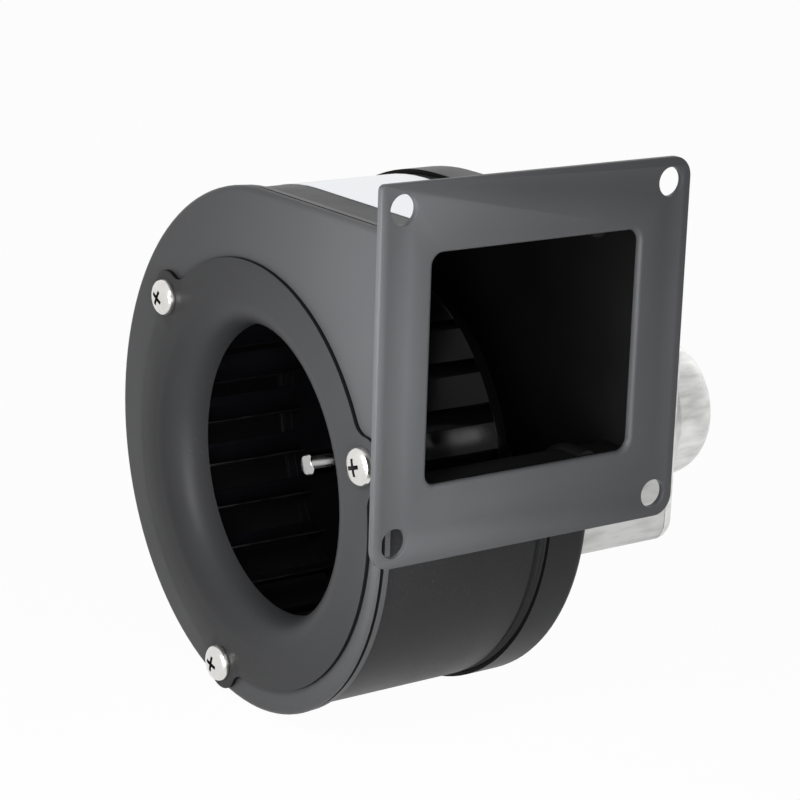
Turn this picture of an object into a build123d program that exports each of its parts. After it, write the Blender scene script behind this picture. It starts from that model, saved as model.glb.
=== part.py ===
from build123d import *
import os

os.makedirs("parts", exist_ok=True)

# Small centrifugal blower: a sheet-metal snail housing, a forward-curved wheel and its motor.
# Sizes are in millimetres and angles in degrees.
# The origin is the centre of the four outlet bolt holes, on the front of the outlet flange.
# Air enters along +X and leaves along -Y, and the motor stands on the +X side.

# Sheet and clearances
sheet = 1.0  # covers and scroll wall
seam_gap = 0.1  # between pieces that slip into one another
press_gap = 0.02  # between pieces pressed, screwed or riveted together
bearing_gap = 0.05  # between a ball and its grooves

# Wheel
wheel_radius = 50.0  # outside of the blades
wheel_sheet = 0.8
wheel_edge_share = 0.75  # of the sheet, rounded at the wheel's outer edges
wheel_skirt = 2.4  # how far the disc and the ring turn over the blade ends
blade_count = 24
blade_depth = 6.0  # along the radius
blade_length = 30.4  # between the ring and the disc
blade_sweep = 6.5  # how far the outer edge leads the inner edge, as an angle
hub_flange_radius = 13.0
hub_flange_thickness = 2.0
hub_wall = 4.5  # around the shaft
hub_length = 12.0
rivet_count = 4
rivet_radius = 1.5
rivet_head_radius = 2.4
rivet_head_height = 1.2
rivet_crown_share = 0.8  # of a rivet head's height, rounded
set_screw_radius = 2.0
set_screw_inset = 5.0  # from the hub's front end
hex_key_radius = 1.15

# Inlet ring
ring_sheet = 1.2
throat_step = 6.5  # from the blades' inner edge in to the throat
mouth_roll = 8.0  # radius of the rolled mouth
throat_land = 2.6
wheel_gap = 2.6  # from the lip to the wheel
access_gap = 1.2  # around the wheel when it is drawn out through the front cover
ring_seat = 3.0  # how far the ring laps the cover
ear_radius = 7.0
ear_overhang = 0.5  # screw circle outside the ring's edge
ear_blend = 5.0
ring_screw_count = 3
ring_screw_angle = 42.1  # from +Y towards +Z
ring_thread_radius = 2.5
ring_head_radius = 4.8
ring_head_height = 3.1
ring_nut_radius = 4.3
ring_nut_height = 3.4
screw_play = 0.25  # around a screw in its hole

# Snail housing
cutoff_gap = 4.1  # from the wheel to the wall where the scroll is tightest
scroll_growth = 5.4  # added to the radius by each quarter turn
tongue_bend = 8.0
tongue_height = 14.8  # underside of the duct, above the fan axis
floor_run = 8.0  # from the tongue's bend to the front of the flange
edge_radius = 2.4  # rolled edge of a cover, outside
rim_lap = 1.7  # how far the front rim laps the wall
back_rim = 12.3
groove_width = 3.0  # rolled groove that the back cover stops at
groove_depth = 1.2
rear_gap = 14.0  # from the wheel to the motor's boss

# Outlet flange
flange_thickness = 1.8
flange_side_margin = 14.25
flange_end_margin = 17.25
flange_corner = 5.0
flange_edge_radius = 0.4
opening_lap = 0.1  # the duct is this much wider than the opening, above and below
opening_lip = 1.5  # the flange covers this much of the duct at each side
opening_lift = 0.8  # opening above the flange's middle
opening_corner = 3.0
opening_edge_radius = 0.9
bolt_hole_radius = 3.5
bolt_edge = 5.9  # hole centre to flange edge
tab_length = 6.0
tab_width = 34.0

# Motor
shaft_radius = 3.0
shaft_front = 4.5  # shaft's end behind the wheel's front
shaft_chamfer = 0.6
shaft_flat_depth = 0.5
flat_angle = 150.0  # from +Y towards +Z
bearing_radius = 9.5
bearing_width = 6.0
bearing_pitch_radius = 6.25
ball_radius = 1.75
ball_count = 7
bearing_shoulder = 1.35  # from the pitch circle to either ring's shoulder
shield_thickness = 0.25
shield_recess = 0.2
shield_play = 0.2
cage_wall = 2.0
cage_width = 4.5
cage_play = 0.1
boss_wall = 4.5
boss_length = 6.0
boss_lip = 2.0
boss_lip_wall = 3.0
bracket_thickness = 6.0
bracket_round = 1.0
shell_wall = 2.5
motor_corner = 3.0
width_over_height = 2.0
rotor_radius = 14.7
air_gap = 0.3
stack_length = 24.0
end_ring_thickness = 3.0
end_ring_wall = 5.0
slot_count = 12
tooth_tip = 1.5
slot_depth = 7.0
slot_width = 4.4
slot_mouth = 1.8
slot_round = 1.1
yoke = 3.0
slot_liner = 0.3
insulator_thickness = 0.8
winding_overhang = 7.5
winding_round = 2.4
end_space = 0.7
bell_length = 28.0
bell_base = 4.0
cone_length = 9.0
cone_inset = 1.0
dome_wall = 10.0  # around the rear bearing
dome_round = 8.0
dome_cap = 7.0
dome_seat_lead = 1.5  # seat in front of the rear bearing
preload_height = 0.7
preload_thickness = 0.3
preload_width = 1.5
shaft_tail_gap = 0.3
circlip_thickness = 0.7
circlip_radius = 4.6
circlip_groove = 0.3
circlip_opening = 3.0
mount_screw_count = 4
mount_circle_margin = 9.0  # outside the boss
motor_thread_radius = 2.0
motor_head_radius = 3.6
motor_head_height = 2.6
motor_screw_inset = 6.5  # from the sides of the body
screw_end_gap = 0.5
head_crown_share = 0.6  # of a screw head's height, rounded
recess_share = 0.48  # cross recess to head radius
recess_slot = 1.0
recess_depth = 1.5
grommet_wall = 1.0
grommet_rim = 1.2  # how far each lip stands outside the neck
grommet_lip = 1.4
grommet_play = 0.3  # between a lip and the stator or the rear bell
grommet_drop = 12.0  # below the fan axis

# Places along the fan axis, counted from the outer face of the front cover
lip_end = mouth_roll - ring_sheet + throat_land
wheel_start = lip_end + wheel_gap
blade_start = wheel_start + wheel_sheet
blade_end = blade_start + blade_length
wheel_end = blade_end + wheel_sheet
boss_start = wheel_end + rear_gap
scroll_depth = boss_start + boss_length
wall_start = edge_radius + seam_gap
wall_end = scroll_depth - wall_start
front_rim = wall_start + rim_lap
back_rim_start = scroll_depth - back_rim
hub_end = blade_end
hub_flange_start = hub_end - hub_flange_thickness
hub_start = hub_flange_start - hub_length
front_bearing_start = boss_start + boss_lip
shell_start = scroll_depth + bracket_thickness
shell_length = stack_length + 2 * (insulator_thickness + winding_overhang + end_space)
bell_start = shell_start + shell_length
bell_end = bell_start + bell_length
core_start = shell_start + (shell_length - stack_length) / 2
core_end = core_start + stack_length
rear_seat_end = bell_end - dome_cap
rear_bearing_end = rear_seat_end - preload_height
rear_bearing_start = rear_bearing_end - bearing_width
shaft_start = wheel_start + shaft_front
shaft_end = rear_bearing_end - shaft_tail_gap

# Radii and distances from the fan axis
wheel_outside = wheel_radius + press_gap + wheel_sheet
wheel_inside = wheel_radius - blade_depth
throat_radius = wheel_inside - throat_step
mouth_radius = throat_radius + mouth_roll
access_radius = wheel_outside + access_gap
ring_radius = access_radius + ring_seat
ring_screw_circle = ring_radius + ear_overhang
wall_inset = sheet + seam_gap
wall_inside = wall_inset + sheet
scroll_radius = wheel_outside + cutoff_gap + wall_inside
outlet_reach = scroll_radius + tongue_bend + floor_run
top_height = scroll_radius + 3 * scroll_growth
opening_height = top_height - tongue_height - 2 * (wall_inside + opening_lap)
opening_width = scroll_depth - 2 * (sheet + opening_lip)
opening_middle = tongue_height + wall_inside + opening_lap + opening_height / 2
outlet_rise = opening_middle - opening_lift
hub_radius = shaft_radius + hub_wall
inner_shoulder_radius = bearing_pitch_radius - bearing_shoulder
outer_shoulder_radius = bearing_pitch_radius + bearing_shoulder
rivet_circle = (hub_radius + hub_flange_radius) / 2
boss_radius = bearing_radius + boss_wall
mount_circle = boss_radius + mount_circle_margin
stator_bore = rotor_radius + air_gap
slot_inside = stator_bore + tooth_tip
slot_outside = slot_inside + slot_depth
motor_height = 2 * (slot_outside + yoke + shell_wall)
motor_width = motor_height + width_over_height
through_screw_y = motor_width - 2 * motor_screw_inset
through_screw_z = motor_height - 2 * motor_screw_inset
dome_radius = bearing_radius + dome_wall
grommet_flange = (bell_start - core_end) / 2 - grommet_play
grommet_neck = grommet_flange - grommet_rim
grommet_bore = grommet_neck - grommet_wall

# Flange and its holes
flange_width = opening_width + 2 * flange_side_margin
flange_height = opening_height + 2 * flange_end_margin
bolt_spacing_x = flange_width - 2 * bolt_edge
bolt_spacing_z = flange_height - 2 * bolt_edge

# Planes: across the fan axis, and half sections through it with x along the axis
fan_origin = Vector(-scroll_depth / 2, outlet_reach, -outlet_rise)
fan_plane = Plane(origin=fan_origin, x_dir=(0, 1, 0), z_dir=(1, 0, 0))
half_section = Plane(origin=fan_origin, x_dir=(1, 0, 0), z_dir=(0, -1, 0))
fan_axis = Axis(origin=fan_origin, direction=(1, 0, 0))


def scroll_area(inset, overrun=0.0):
    """Snail outline as a face, inset from the outside of the rims.

    Three quarter arcs about the corners of a small square make the spiral, each larger
    than the last by the square's side. A straight roof and floor lead to the outlet, and
    overrun carries them past the flange.
    """
    half = scroll_growth / 2
    corners = ((half, -half), (half, half), (-half, half))
    side = inset - scroll_radius
    floor = tongue_height + inset
    roof = top_height - inset
    mouth = flange_thickness - outlet_reach - overrun
    with BuildSketch(mode=Mode.PRIVATE) as area:
        with BuildLine():
            for quarter, corner in enumerate(corners):
                radius = scroll_radius + half + quarter * scroll_growth - inset
                CenterArc(corner, radius, 180 + 90 * quarter, 90)
            Polyline((-half, roof), (mouth, roof), (mouth, floor), (side, floor), (side, -half))
        make_face()
        tongue = area.vertices().sort_by_distance((side, floor))[0]
        fillet(tongue, radius=tongue_bend + inset)
    return area.sketch


def strip(start, end, inner, outer, mode=Mode.ADD):
    """Rectangle in a half section, between two places on the axis and two radii."""
    with Locations(((start + end) / 2, (inner + outer) / 2)):
        Rectangle(end - start, outer - inner, mode=mode)


def pan_head_screws(seat, places, thread_radius, length, head_radius, head_height):
    """Cross-recessed pan-head screws: heads on the outer side of a plane, threads behind."""
    with BuildPart() as screws:
        with BuildSketch(seat):
            with places:
                Circle(head_radius)
        extrude(amount=head_height)
        rims = screws.edges().filter_by(GeomType.CIRCLE).filter_by(
            lambda edge: seat.to_local_coords(edge.center()).Z > head_height / 2
        )
        fillet(rims, radius=head_height * head_crown_share)
        with BuildSketch(seat):
            with places:
                Circle(thread_radius)
        extrude(amount=-length)
        with BuildSketch(seat.offset(head_height)):
            with places:
                Rectangle(2 * recess_share * head_radius, recess_slot)
                Rectangle(recess_slot, 2 * recess_share * head_radius)
        extrude(amount=-recess_depth, mode=Mode.SUBTRACT)
    return screws.part


# Front cover: a shallow pan with the access hole for the wheel
with BuildPart() as front_cavity:
    with BuildSketch(fan_plane.offset(sheet)):
        add(scroll_area(sheet, overrun=sheet))
    extrude(amount=front_rim)
    face_edges = front_cavity.faces().sort_by(Axis.X)[0].edges().sort_by(Axis.Y)[1:]
    fillet(face_edges, radius=edge_radius - sheet)

with BuildPart() as front_cover:
    with BuildSketch(fan_plane):
        add(scroll_area(0))
    extrude(amount=front_rim)
    face_edges = front_cover.faces().sort_by(Axis.X)[0].edges().sort_by(Axis.Y)[1:]
    fillet(face_edges, radius=edge_radius)
    add(front_cavity.part, mode=Mode.SUBTRACT)
    with BuildSketch(fan_plane):
        Circle(access_radius)
        with PolarLocations(ring_screw_circle, ring_screw_count, ring_screw_angle):
            Circle(ring_thread_radius + screw_play)
    extrude(amount=sheet, mode=Mode.SUBTRACT)
    with BuildSketch(Plane.XZ.offset(-flange_thickness)):
        with Locations((-scroll_depth / 2 + (sheet - tab_length) / 2, opening_lift)):
            Rectangle(tab_length + sheet, tab_width)
    extrude(amount=-sheet)
front_cover.part.label = "front_cover"
export_step(front_cover.part, "parts/front_cover.step")

# Scroll wall: one strip with a rolled groove, its ends turned out behind the flange
with BuildPart() as scroll_wall:
    with BuildSketch(fan_plane.offset(wall_start)):
        add(scroll_area(wall_inset))
        add(scroll_area(wall_inside, overrun=sheet), mode=Mode.SUBTRACT)
    extrude(amount=wall_end - wall_start)
    with BuildSketch(fan_plane.offset(back_rim_start - groove_width - sheet)):
        add(scroll_area(wall_inset))
        add(scroll_area(wall_inside + groove_depth, overrun=sheet), mode=Mode.SUBTRACT)
    extrude(amount=groove_width + 2 * sheet)
    with BuildSketch(fan_plane.offset(back_rim_start - groove_width)):
        add(scroll_area(-sheet, overrun=sheet))
        add(scroll_area(wall_inset + groove_depth, overrun=sheet), mode=Mode.SUBTRACT)
    extrude(amount=groove_width, mode=Mode.SUBTRACT)
    roof = top_height - wall_inset - outlet_rise
    floor = tongue_height + wall_inset - outlet_rise
    with BuildSketch(Plane.XZ.offset(-flange_thickness)):
        with Locations((0, roof + (tab_length - sheet) / 2), (0, floor - (tab_length - sheet) / 2)):
            Rectangle(tab_width, tab_length + sheet)
    extrude(amount=-sheet)
scroll_wall.part.label = "scroll_wall"
export_step(scroll_wall.part, "parts/scroll_wall.step")

# Back cover: a deep pan with the motor's pilot hole
with BuildPart() as back_cavity:
    with BuildSketch(fan_plane.offset(scroll_depth - sheet)):
        add(scroll_area(sheet, overrun=sheet))
    extrude(amount=-back_rim)
    face_edges = back_cavity.faces().sort_by(Axis.X)[-1].edges().sort_by(Axis.Y)[1:]
    fillet(face_edges, radius=edge_radius - sheet)

with BuildPart() as back_cover:
    with BuildSketch(fan_plane.offset(scroll_depth)):
        add(scroll_area(0))
    extrude(amount=-back_rim)
    face_edges = back_cover.faces().sort_by(Axis.X)[-1].edges().sort_by(Axis.Y)[1:]
    fillet(face_edges, radius=edge_radius)
    add(back_cavity.part, mode=Mode.SUBTRACT)
    with BuildSketch(fan_plane.offset(scroll_depth)):
        Circle(boss_radius + seam_gap)
        with PolarLocations(mount_circle, mount_screw_count):
            Circle(motor_thread_radius + screw_play)
    extrude(amount=-sheet, mode=Mode.SUBTRACT)
    with BuildSketch(Plane.XZ.offset(-flange_thickness)):
        with Locations((scroll_depth / 2 - (sheet - tab_length) / 2, opening_lift)):
            Rectangle(tab_length + sheet, tab_width)
    extrude(amount=-sheet)
back_cover.part.label = "back_cover"
export_step(back_cover.part, "parts/back_cover.step")

# Outlet flange: plate with a rounded opening and four bolt holes
with BuildPart() as outlet_flange:
    with BuildSketch(Plane.XZ):
        RectangleRounded(flange_width, flange_height, flange_corner)
        with Locations((0, opening_lift)):
            RectangleRounded(opening_width, opening_height, opening_corner, mode=Mode.SUBTRACT)
        with GridLocations(bolt_spacing_x, bolt_spacing_z, 2, 2):
            Circle(bolt_hole_radius, mode=Mode.SUBTRACT)
    extrude(amount=-flange_thickness)
    front = outlet_flange.faces().sort_by(Axis.Y)[0]
    opening = front.inner_wires().sort_by(SortBy.LENGTH)[-1]
    fillet(opening.edges(), radius=opening_edge_radius)
    front = outlet_flange.faces().sort_by(Axis.Y)[0]
    fillet(front.outer_wire().edges(), radius=flange_edge_radius)
outlet_flange.part.label = "outlet_flange"
export_step(outlet_flange.part, "parts/outlet_flange.step")

# Inlet ring: plate with three ears and a mouth rolled in to a short throat
with BuildPart() as inlet_ring:
    with BuildSketch(fan_plane) as plate:
        Circle(ring_radius)
        with PolarLocations(ring_screw_circle, ring_screw_count, ring_screw_angle):
            Circle(ear_radius)
        necks = plate.vertices().filter_by(
            lambda corner: abs(Vector(corner.X, corner.Y).length - ring_radius) < press_gap
        )
        fillet(necks, radius=ear_blend)
        Circle(mouth_radius, mode=Mode.SUBTRACT)
        with PolarLocations(ring_screw_circle, ring_screw_count, ring_screw_angle):
            Circle(ring_thread_radius + screw_play, mode=Mode.SUBTRACT)
    extrude(amount=-ring_sheet)
    roll_middle = (mouth_roll - ring_sheet, mouth_radius)
    with BuildSketch(half_section):
        with Locations(roll_middle):
            Circle(mouth_roll)
            Circle(mouth_roll - ring_sheet, mode=Mode.SUBTRACT)
        with Locations((roll_middle[0] - mouth_roll / 2, roll_middle[1] - mouth_roll / 2)):
            Rectangle(mouth_roll, mouth_roll, mode=Mode.INTERSECT)
        strip(roll_middle[0], lip_end, throat_radius, throat_radius + ring_sheet)
    revolve(axis=fan_axis)
inlet_ring.part.label = "inlet_ring"
export_step(inlet_ring.part, "parts/inlet_ring.step")

# Screws and fixed nuts of the inlet ring
inlet_ring_screws = pan_head_screws(
    Plane(fan_plane.offset(-ring_sheet).origin, x_dir=(0, -1, 0), z_dir=(-1, 0, 0)),
    PolarLocations(ring_screw_circle, ring_screw_count, 180 - ring_screw_angle),
    ring_thread_radius,
    ring_sheet + sheet + ring_nut_height + screw_end_gap,
    ring_head_radius,
    ring_head_height,
)
inlet_ring_screws.label = "inlet_ring_screws"
export_step(inlet_ring_screws, "parts/inlet_ring_screws.step")

with BuildPart() as inlet_ring_nuts:
    with BuildSketch(fan_plane.offset(sheet)):
        with PolarLocations(ring_screw_circle, ring_screw_count, ring_screw_angle):
            Circle(ring_nut_radius)
            Circle(ring_thread_radius + press_gap, mode=Mode.SUBTRACT)
    extrude(amount=ring_nut_height)
inlet_ring_nuts.part.label = "inlet_ring_nuts"
export_step(inlet_ring_nuts.part, "parts/inlet_ring_nuts.step")

# Wheel: forward-curved blades between a ring and a disc whose skirts turn over their ends
with BuildSketch(mode=Mode.PRIVATE) as blade_profile:
    with BuildLine() as camber:
        tip = Vector(wheel_radius - wheel_sheet / 2, 0).rotate(Axis.Z, blade_sweep)
        TangentArc((wheel_inside, 0), tip, tangent=(1, 0))
    trace(line_width=wheel_sheet)

with BuildPart() as impeller_blades:
    with BuildSketch(fan_plane.offset(blade_start)):
        with PolarLocations(0, blade_count):
            add(blade_profile.sketch)
    extrude(amount=blade_length)
impeller_blades.part.label = "impeller_blades"
export_step(impeller_blades.part, "parts/impeller_blades.step")

with BuildPart() as impeller_front_ring:
    with BuildSketch(half_section):
        strip(wheel_start, blade_start, wheel_inside, wheel_outside)
        strip(wheel_start, blade_start + wheel_skirt, wheel_radius + press_gap, wheel_outside)
    revolve(axis=fan_axis)
    shoulder = impeller_front_ring.faces().sort_by(Axis.X)[0].outer_wire().edges()
    fillet(shoulder, radius=wheel_sheet * wheel_edge_share)
impeller_front_ring.part.label = "impeller_front_ring"
export_step(impeller_front_ring.part, "parts/impeller_front_ring.step")

with BuildPart() as impeller_back_disc:
    with BuildSketch(half_section):
        strip(blade_end, wheel_end, shaft_radius + press_gap, wheel_outside)
        strip(blade_end - wheel_skirt, wheel_end, wheel_radius + press_gap, wheel_outside)
    revolve(axis=fan_axis)
    with BuildSketch(fan_plane.offset(blade_end)):
        with PolarLocations(rivet_circle, rivet_count):
            Circle(rivet_radius + press_gap)
    extrude(amount=wheel_sheet, mode=Mode.SUBTRACT)
    shoulder = impeller_back_disc.faces().sort_by(Axis.X)[-1].outer_wire().edges()
    fillet(shoulder, radius=wheel_sheet * wheel_edge_share)
impeller_back_disc.part.label = "impeller_back_disc"
export_step(impeller_back_disc.part, "parts/impeller_back_disc.step")

# Hub: barrel and flange on the shaft, with a tapped hole for the set screw
flat_direction = Vector(0, 1, 0).rotate(Axis.X, flat_angle)
set_screw_x = hub_start + set_screw_inset
set_screw_plane = Plane(
    origin=fan_plane.offset(set_screw_x).origin, x_dir=(1, 0, 0), z_dir=flat_direction
)
with BuildPart() as impeller_hub:
    with BuildSketch(half_section):
        strip(hub_start, hub_end, shaft_radius + press_gap, hub_radius)
        strip(hub_flange_start, hub_end, hub_radius, hub_flange_radius)
    revolve(axis=fan_axis)
    with BuildSketch(fan_plane.offset(hub_flange_start)):
        with PolarLocations(rivet_circle, rivet_count):
            Circle(rivet_radius + press_gap)
    extrude(amount=hub_flange_thickness, mode=Mode.SUBTRACT)
    with BuildSketch(set_screw_plane):
        Circle(set_screw_radius + press_gap)
    extrude(amount=2 * hub_radius, mode=Mode.SUBTRACT)
    nose = impeller_hub.faces().sort_by(Axis.X)[0].outer_wire().edges()
    fillet(nose, radius=wheel_sheet)
impeller_hub.part.label = "impeller_hub"
export_step(impeller_hub.part, "parts/impeller_hub.step")

with BuildPart() as hub_set_screw:
    with BuildSketch(set_screw_plane.offset(shaft_radius - shaft_flat_depth)):
        Circle(set_screw_radius)
    extrude(amount=hub_wall)
    with BuildSketch(set_screw_plane.offset(shaft_radius - shaft_flat_depth + hub_wall)):
        RegularPolygon(hex_key_radius, 6)
    extrude(amount=-set_screw_radius, mode=Mode.SUBTRACT)
hub_set_screw.part.label = "hub_set_screw"
export_step(hub_set_screw.part, "parts/hub_set_screw.step")

with BuildPart() as hub_rivets:
    with BuildSketch(fan_plane.offset(hub_flange_start - rivet_head_height)):
        with PolarLocations(rivet_circle, rivet_count):
            Circle(rivet_head_radius)
    extrude(amount=rivet_head_height)
    with BuildSketch(fan_plane.offset(wheel_end)):
        with PolarLocations(rivet_circle, rivet_count):
            Circle(rivet_head_radius)
    extrude(amount=rivet_head_height)
    heads = hub_rivets.faces().filter_by(GeomType.PLANE).sort_by(Axis.X)
    crowns = heads[:rivet_count] + heads[-rivet_count:]
    fillet(crowns.edges(), radius=rivet_head_height * rivet_crown_share)
    with BuildSketch(fan_plane.offset(hub_flange_start)):
        with PolarLocations(rivet_circle, rivet_count):
            Circle(rivet_radius)
    extrude(amount=wheel_end - hub_flange_start)
hub_rivets.part.label = "hub_rivets"
export_step(hub_rivets.part, "parts/hub_rivets.step")

# Shaft: a flat for the set screw, chamfered ends and two circlip grooves
front_circlip = front_bearing_start + bearing_width
rear_circlip = rear_bearing_start - circlip_thickness
with BuildPart() as motor_shaft:
    with BuildSketch(fan_plane.offset(shaft_start)):
        Circle(shaft_radius)
    extrude(amount=shaft_end - shaft_start)
    chamfer(motor_shaft.edges().filter_by(GeomType.CIRCLE), length=shaft_chamfer)
    with BuildSketch(half_section):
        for groove in (front_circlip, rear_circlip):
            strip(groove, groove + circlip_thickness, shaft_radius - circlip_groove, bearing_radius)
    revolve(axis=fan_axis, mode=Mode.SUBTRACT)
    with BuildSketch(set_screw_plane.offset(shaft_radius - shaft_flat_depth)):
        with Locations(((shaft_start + hub_end) / 2 - set_screw_x - hub_flange_thickness, 0)):
            Rectangle(hub_end - shaft_start, 2 * shaft_radius)
    extrude(amount=shaft_radius, mode=Mode.SUBTRACT)
motor_shaft.part.label = "motor_shaft"
export_step(motor_shaft.part, "parts/motor_shaft.step")

with BuildPart() as shaft_circlips:
    for groove in (front_circlip, rear_circlip):
        with BuildSketch(fan_plane.offset(groove)):
            Circle(circlip_radius)
            Circle(shaft_radius - circlip_groove + press_gap, mode=Mode.SUBTRACT)
            with Locations((0, circlip_radius)):
                Rectangle(circlip_opening, 2 * circlip_radius, mode=Mode.SUBTRACT)
        extrude(amount=circlip_thickness)
shaft_circlips.part.label = "shaft_circlips"
export_step(shaft_circlips.part, "parts/shaft_circlips.step")

# Ball bearings: rings, balls, cage and shields at each end of the motor
shield_inside = inner_shoulder_radius + shield_play
shield_outside = outer_shoulder_radius - press_gap
for end, start in (("front", front_bearing_start), ("rear", rear_bearing_start)):
    middle = start + bearing_width / 2
    stop = start + bearing_width
    with BuildPart() as outer_ring:
        with BuildSketch(half_section):
            strip(start, stop, outer_shoulder_radius, bearing_radius)
            with Locations((middle, bearing_pitch_radius)):
                Circle(ball_radius + bearing_gap, mode=Mode.SUBTRACT)
        revolve(axis=fan_axis)
    outer_ring.part.label = f"{end}_bearing_outer_ring"
    export_step(outer_ring.part, f"parts/{end}_bearing_outer_ring.step")

    with BuildPart() as inner_ring:
        with BuildSketch(half_section):
            strip(start, stop, shaft_radius + press_gap, inner_shoulder_radius)
            with Locations((middle, bearing_pitch_radius)):
                Circle(ball_radius + bearing_gap, mode=Mode.SUBTRACT)
        revolve(axis=fan_axis)
    inner_ring.part.label = f"{end}_bearing_inner_ring"
    export_step(inner_ring.part, f"parts/{end}_bearing_inner_ring.step")

    with BuildPart(fan_plane.offset(middle)) as balls:
        with PolarLocations(bearing_pitch_radius, ball_count):
            Sphere(ball_radius)
    balls.part.label = f"{end}_bearing_balls"
    export_step(balls.part, f"parts/{end}_bearing_balls.step")

    with BuildPart(fan_plane.offset(middle)) as cage:
        with BuildSketch(fan_plane.offset(middle - cage_width / 2)):
            Circle(bearing_pitch_radius + cage_wall / 2)
            Circle(bearing_pitch_radius - cage_wall / 2, mode=Mode.SUBTRACT)
        extrude(amount=cage_width)
        with PolarLocations(bearing_pitch_radius, ball_count):
            Cylinder(
                ball_radius + cage_play, 2 * cage_wall, rotation=(0, 90, 0), mode=Mode.SUBTRACT
            )
    cage.part.label = f"{end}_bearing_cage"
    export_step(cage.part, f"parts/{end}_bearing_cage.step")

    with BuildPart() as shields:
        with BuildSketch(half_section):
            for edge in (start + shield_recess, stop - shield_recess - shield_thickness):
                strip(edge, edge + shield_thickness, shield_inside, shield_outside)
        revolve(axis=fan_axis)
    shields.part.label = f"{end}_bearing_shields"
    export_step(shields.part, f"parts/{end}_bearing_shields.step")

# Dished washer that loads the rear bearing
with BuildPart() as preload_washer:
    with BuildSketch(half_section):
        with BuildLine():
            outer = bearing_radius - press_gap
            inner = outer - preload_width
            Polyline(
                (rear_bearing_end, outer),
                (rear_bearing_end + preload_thickness, outer),
                (rear_seat_end, inner),
                (rear_seat_end - preload_thickness, inner),
                close=True,
            )
        make_face()
    revolve(axis=fan_axis)
preload_washer.part.label = "preload_washer"
export_step(preload_washer.part, "parts/preload_washer.step")

# Front bracket: plate bolted to the back cover, with the boss that holds the front bearing
with BuildPart() as motor_front_bracket:
    with BuildSketch(fan_plane.offset(scroll_depth)):
        RectangleRounded(motor_width, motor_height, motor_corner)
    extrude(amount=bracket_thickness)
    with BuildSketch(fan_plane.offset(boss_start)):
        Circle(boss_radius)
    extrude(amount=boss_length)
    nose = motor_front_bracket.faces().sort_by(Axis.X)[0].outer_wire().edges()
    fillet(nose, radius=bracket_round)
    with BuildSketch(half_section):
        strip(front_bearing_start, shell_start, 0, bearing_radius + press_gap)
        strip(boss_start, front_bearing_start, 0, bearing_radius - boss_lip_wall)
    revolve(axis=fan_axis, mode=Mode.SUBTRACT)
    with BuildSketch(fan_plane.offset(scroll_depth)):
        with PolarLocations(mount_circle, mount_screw_count):
            Circle(motor_thread_radius + press_gap)
    extrude(amount=bracket_thickness, mode=Mode.SUBTRACT)
    with BuildSketch(fan_plane.offset(shell_start)):
        with GridLocations(through_screw_y, through_screw_z, 2, 2):
            Circle(motor_thread_radius + press_gap)
    extrude(amount=sheet - bracket_thickness, mode=Mode.SUBTRACT)
motor_front_bracket.part.label = "motor_front_bracket"
export_step(motor_front_bracket.part, "parts/motor_front_bracket.step")

motor_mount_screws = pan_head_screws(
    Plane(fan_plane.offset(scroll_depth - sheet).origin, x_dir=(0, -1, 0), z_dir=(-1, 0, 0)),
    PolarLocations(mount_circle, mount_screw_count),
    motor_thread_radius,
    sheet + bracket_thickness - screw_end_gap,
    motor_head_radius,
    motor_head_height,
)
motor_mount_screws.label = "motor_mount_screws"
export_step(motor_mount_screws, "parts/motor_mount_screws.step")

# Motor shell: rounded square tube with the lead's hole on its far side
grommet_plane = Plane(
    origin=fan_origin + Vector((core_end + bell_start) / 2, motor_width / 2, -grommet_drop),
    x_dir=(-1, 0, 0),
    z_dir=(0, 1, 0),
)
shell_inside_y = motor_width - 2 * shell_wall
shell_inside_z = motor_height - 2 * shell_wall
with BuildPart() as motor_shell:
    with BuildSketch(fan_plane.offset(shell_start)):
        RectangleRounded(motor_width, motor_height, motor_corner)
        Rectangle(shell_inside_y, shell_inside_z, mode=Mode.SUBTRACT)
    extrude(amount=shell_length)
    with BuildSketch(grommet_plane):
        Circle(grommet_neck + seam_gap)
    extrude(amount=-shell_wall, mode=Mode.SUBTRACT)
motor_shell.part.label = "motor_shell"
export_step(motor_shell.part, "parts/motor_shell.step")

with BuildPart() as lead_grommet:
    with BuildSketch(grommet_plane.offset(-shell_wall - grommet_lip)):
        Circle(grommet_neck)
    extrude(amount=shell_wall + 2 * grommet_lip)
    with BuildSketch(grommet_plane):
        Circle(grommet_flange)
    extrude(amount=grommet_lip)
    with BuildSketch(grommet_plane.offset(-shell_wall)):
        Circle(grommet_flange)
    extrude(amount=-grommet_lip)
    rims = lead_grommet.faces().sort_by(Axis.Y)
    fillet(rims[-1].edges() + rims[0].edges(), radius=grommet_lip / 2)
    with BuildSketch(grommet_plane.offset(grommet_lip)):
        Circle(grommet_bore)
    extrude(amount=-shell_wall - 2 * grommet_lip, mode=Mode.SUBTRACT)
lead_grommet.part.label = "lead_grommet"
export_step(lead_grommet.part, "parts/lead_grommet.step")

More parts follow.
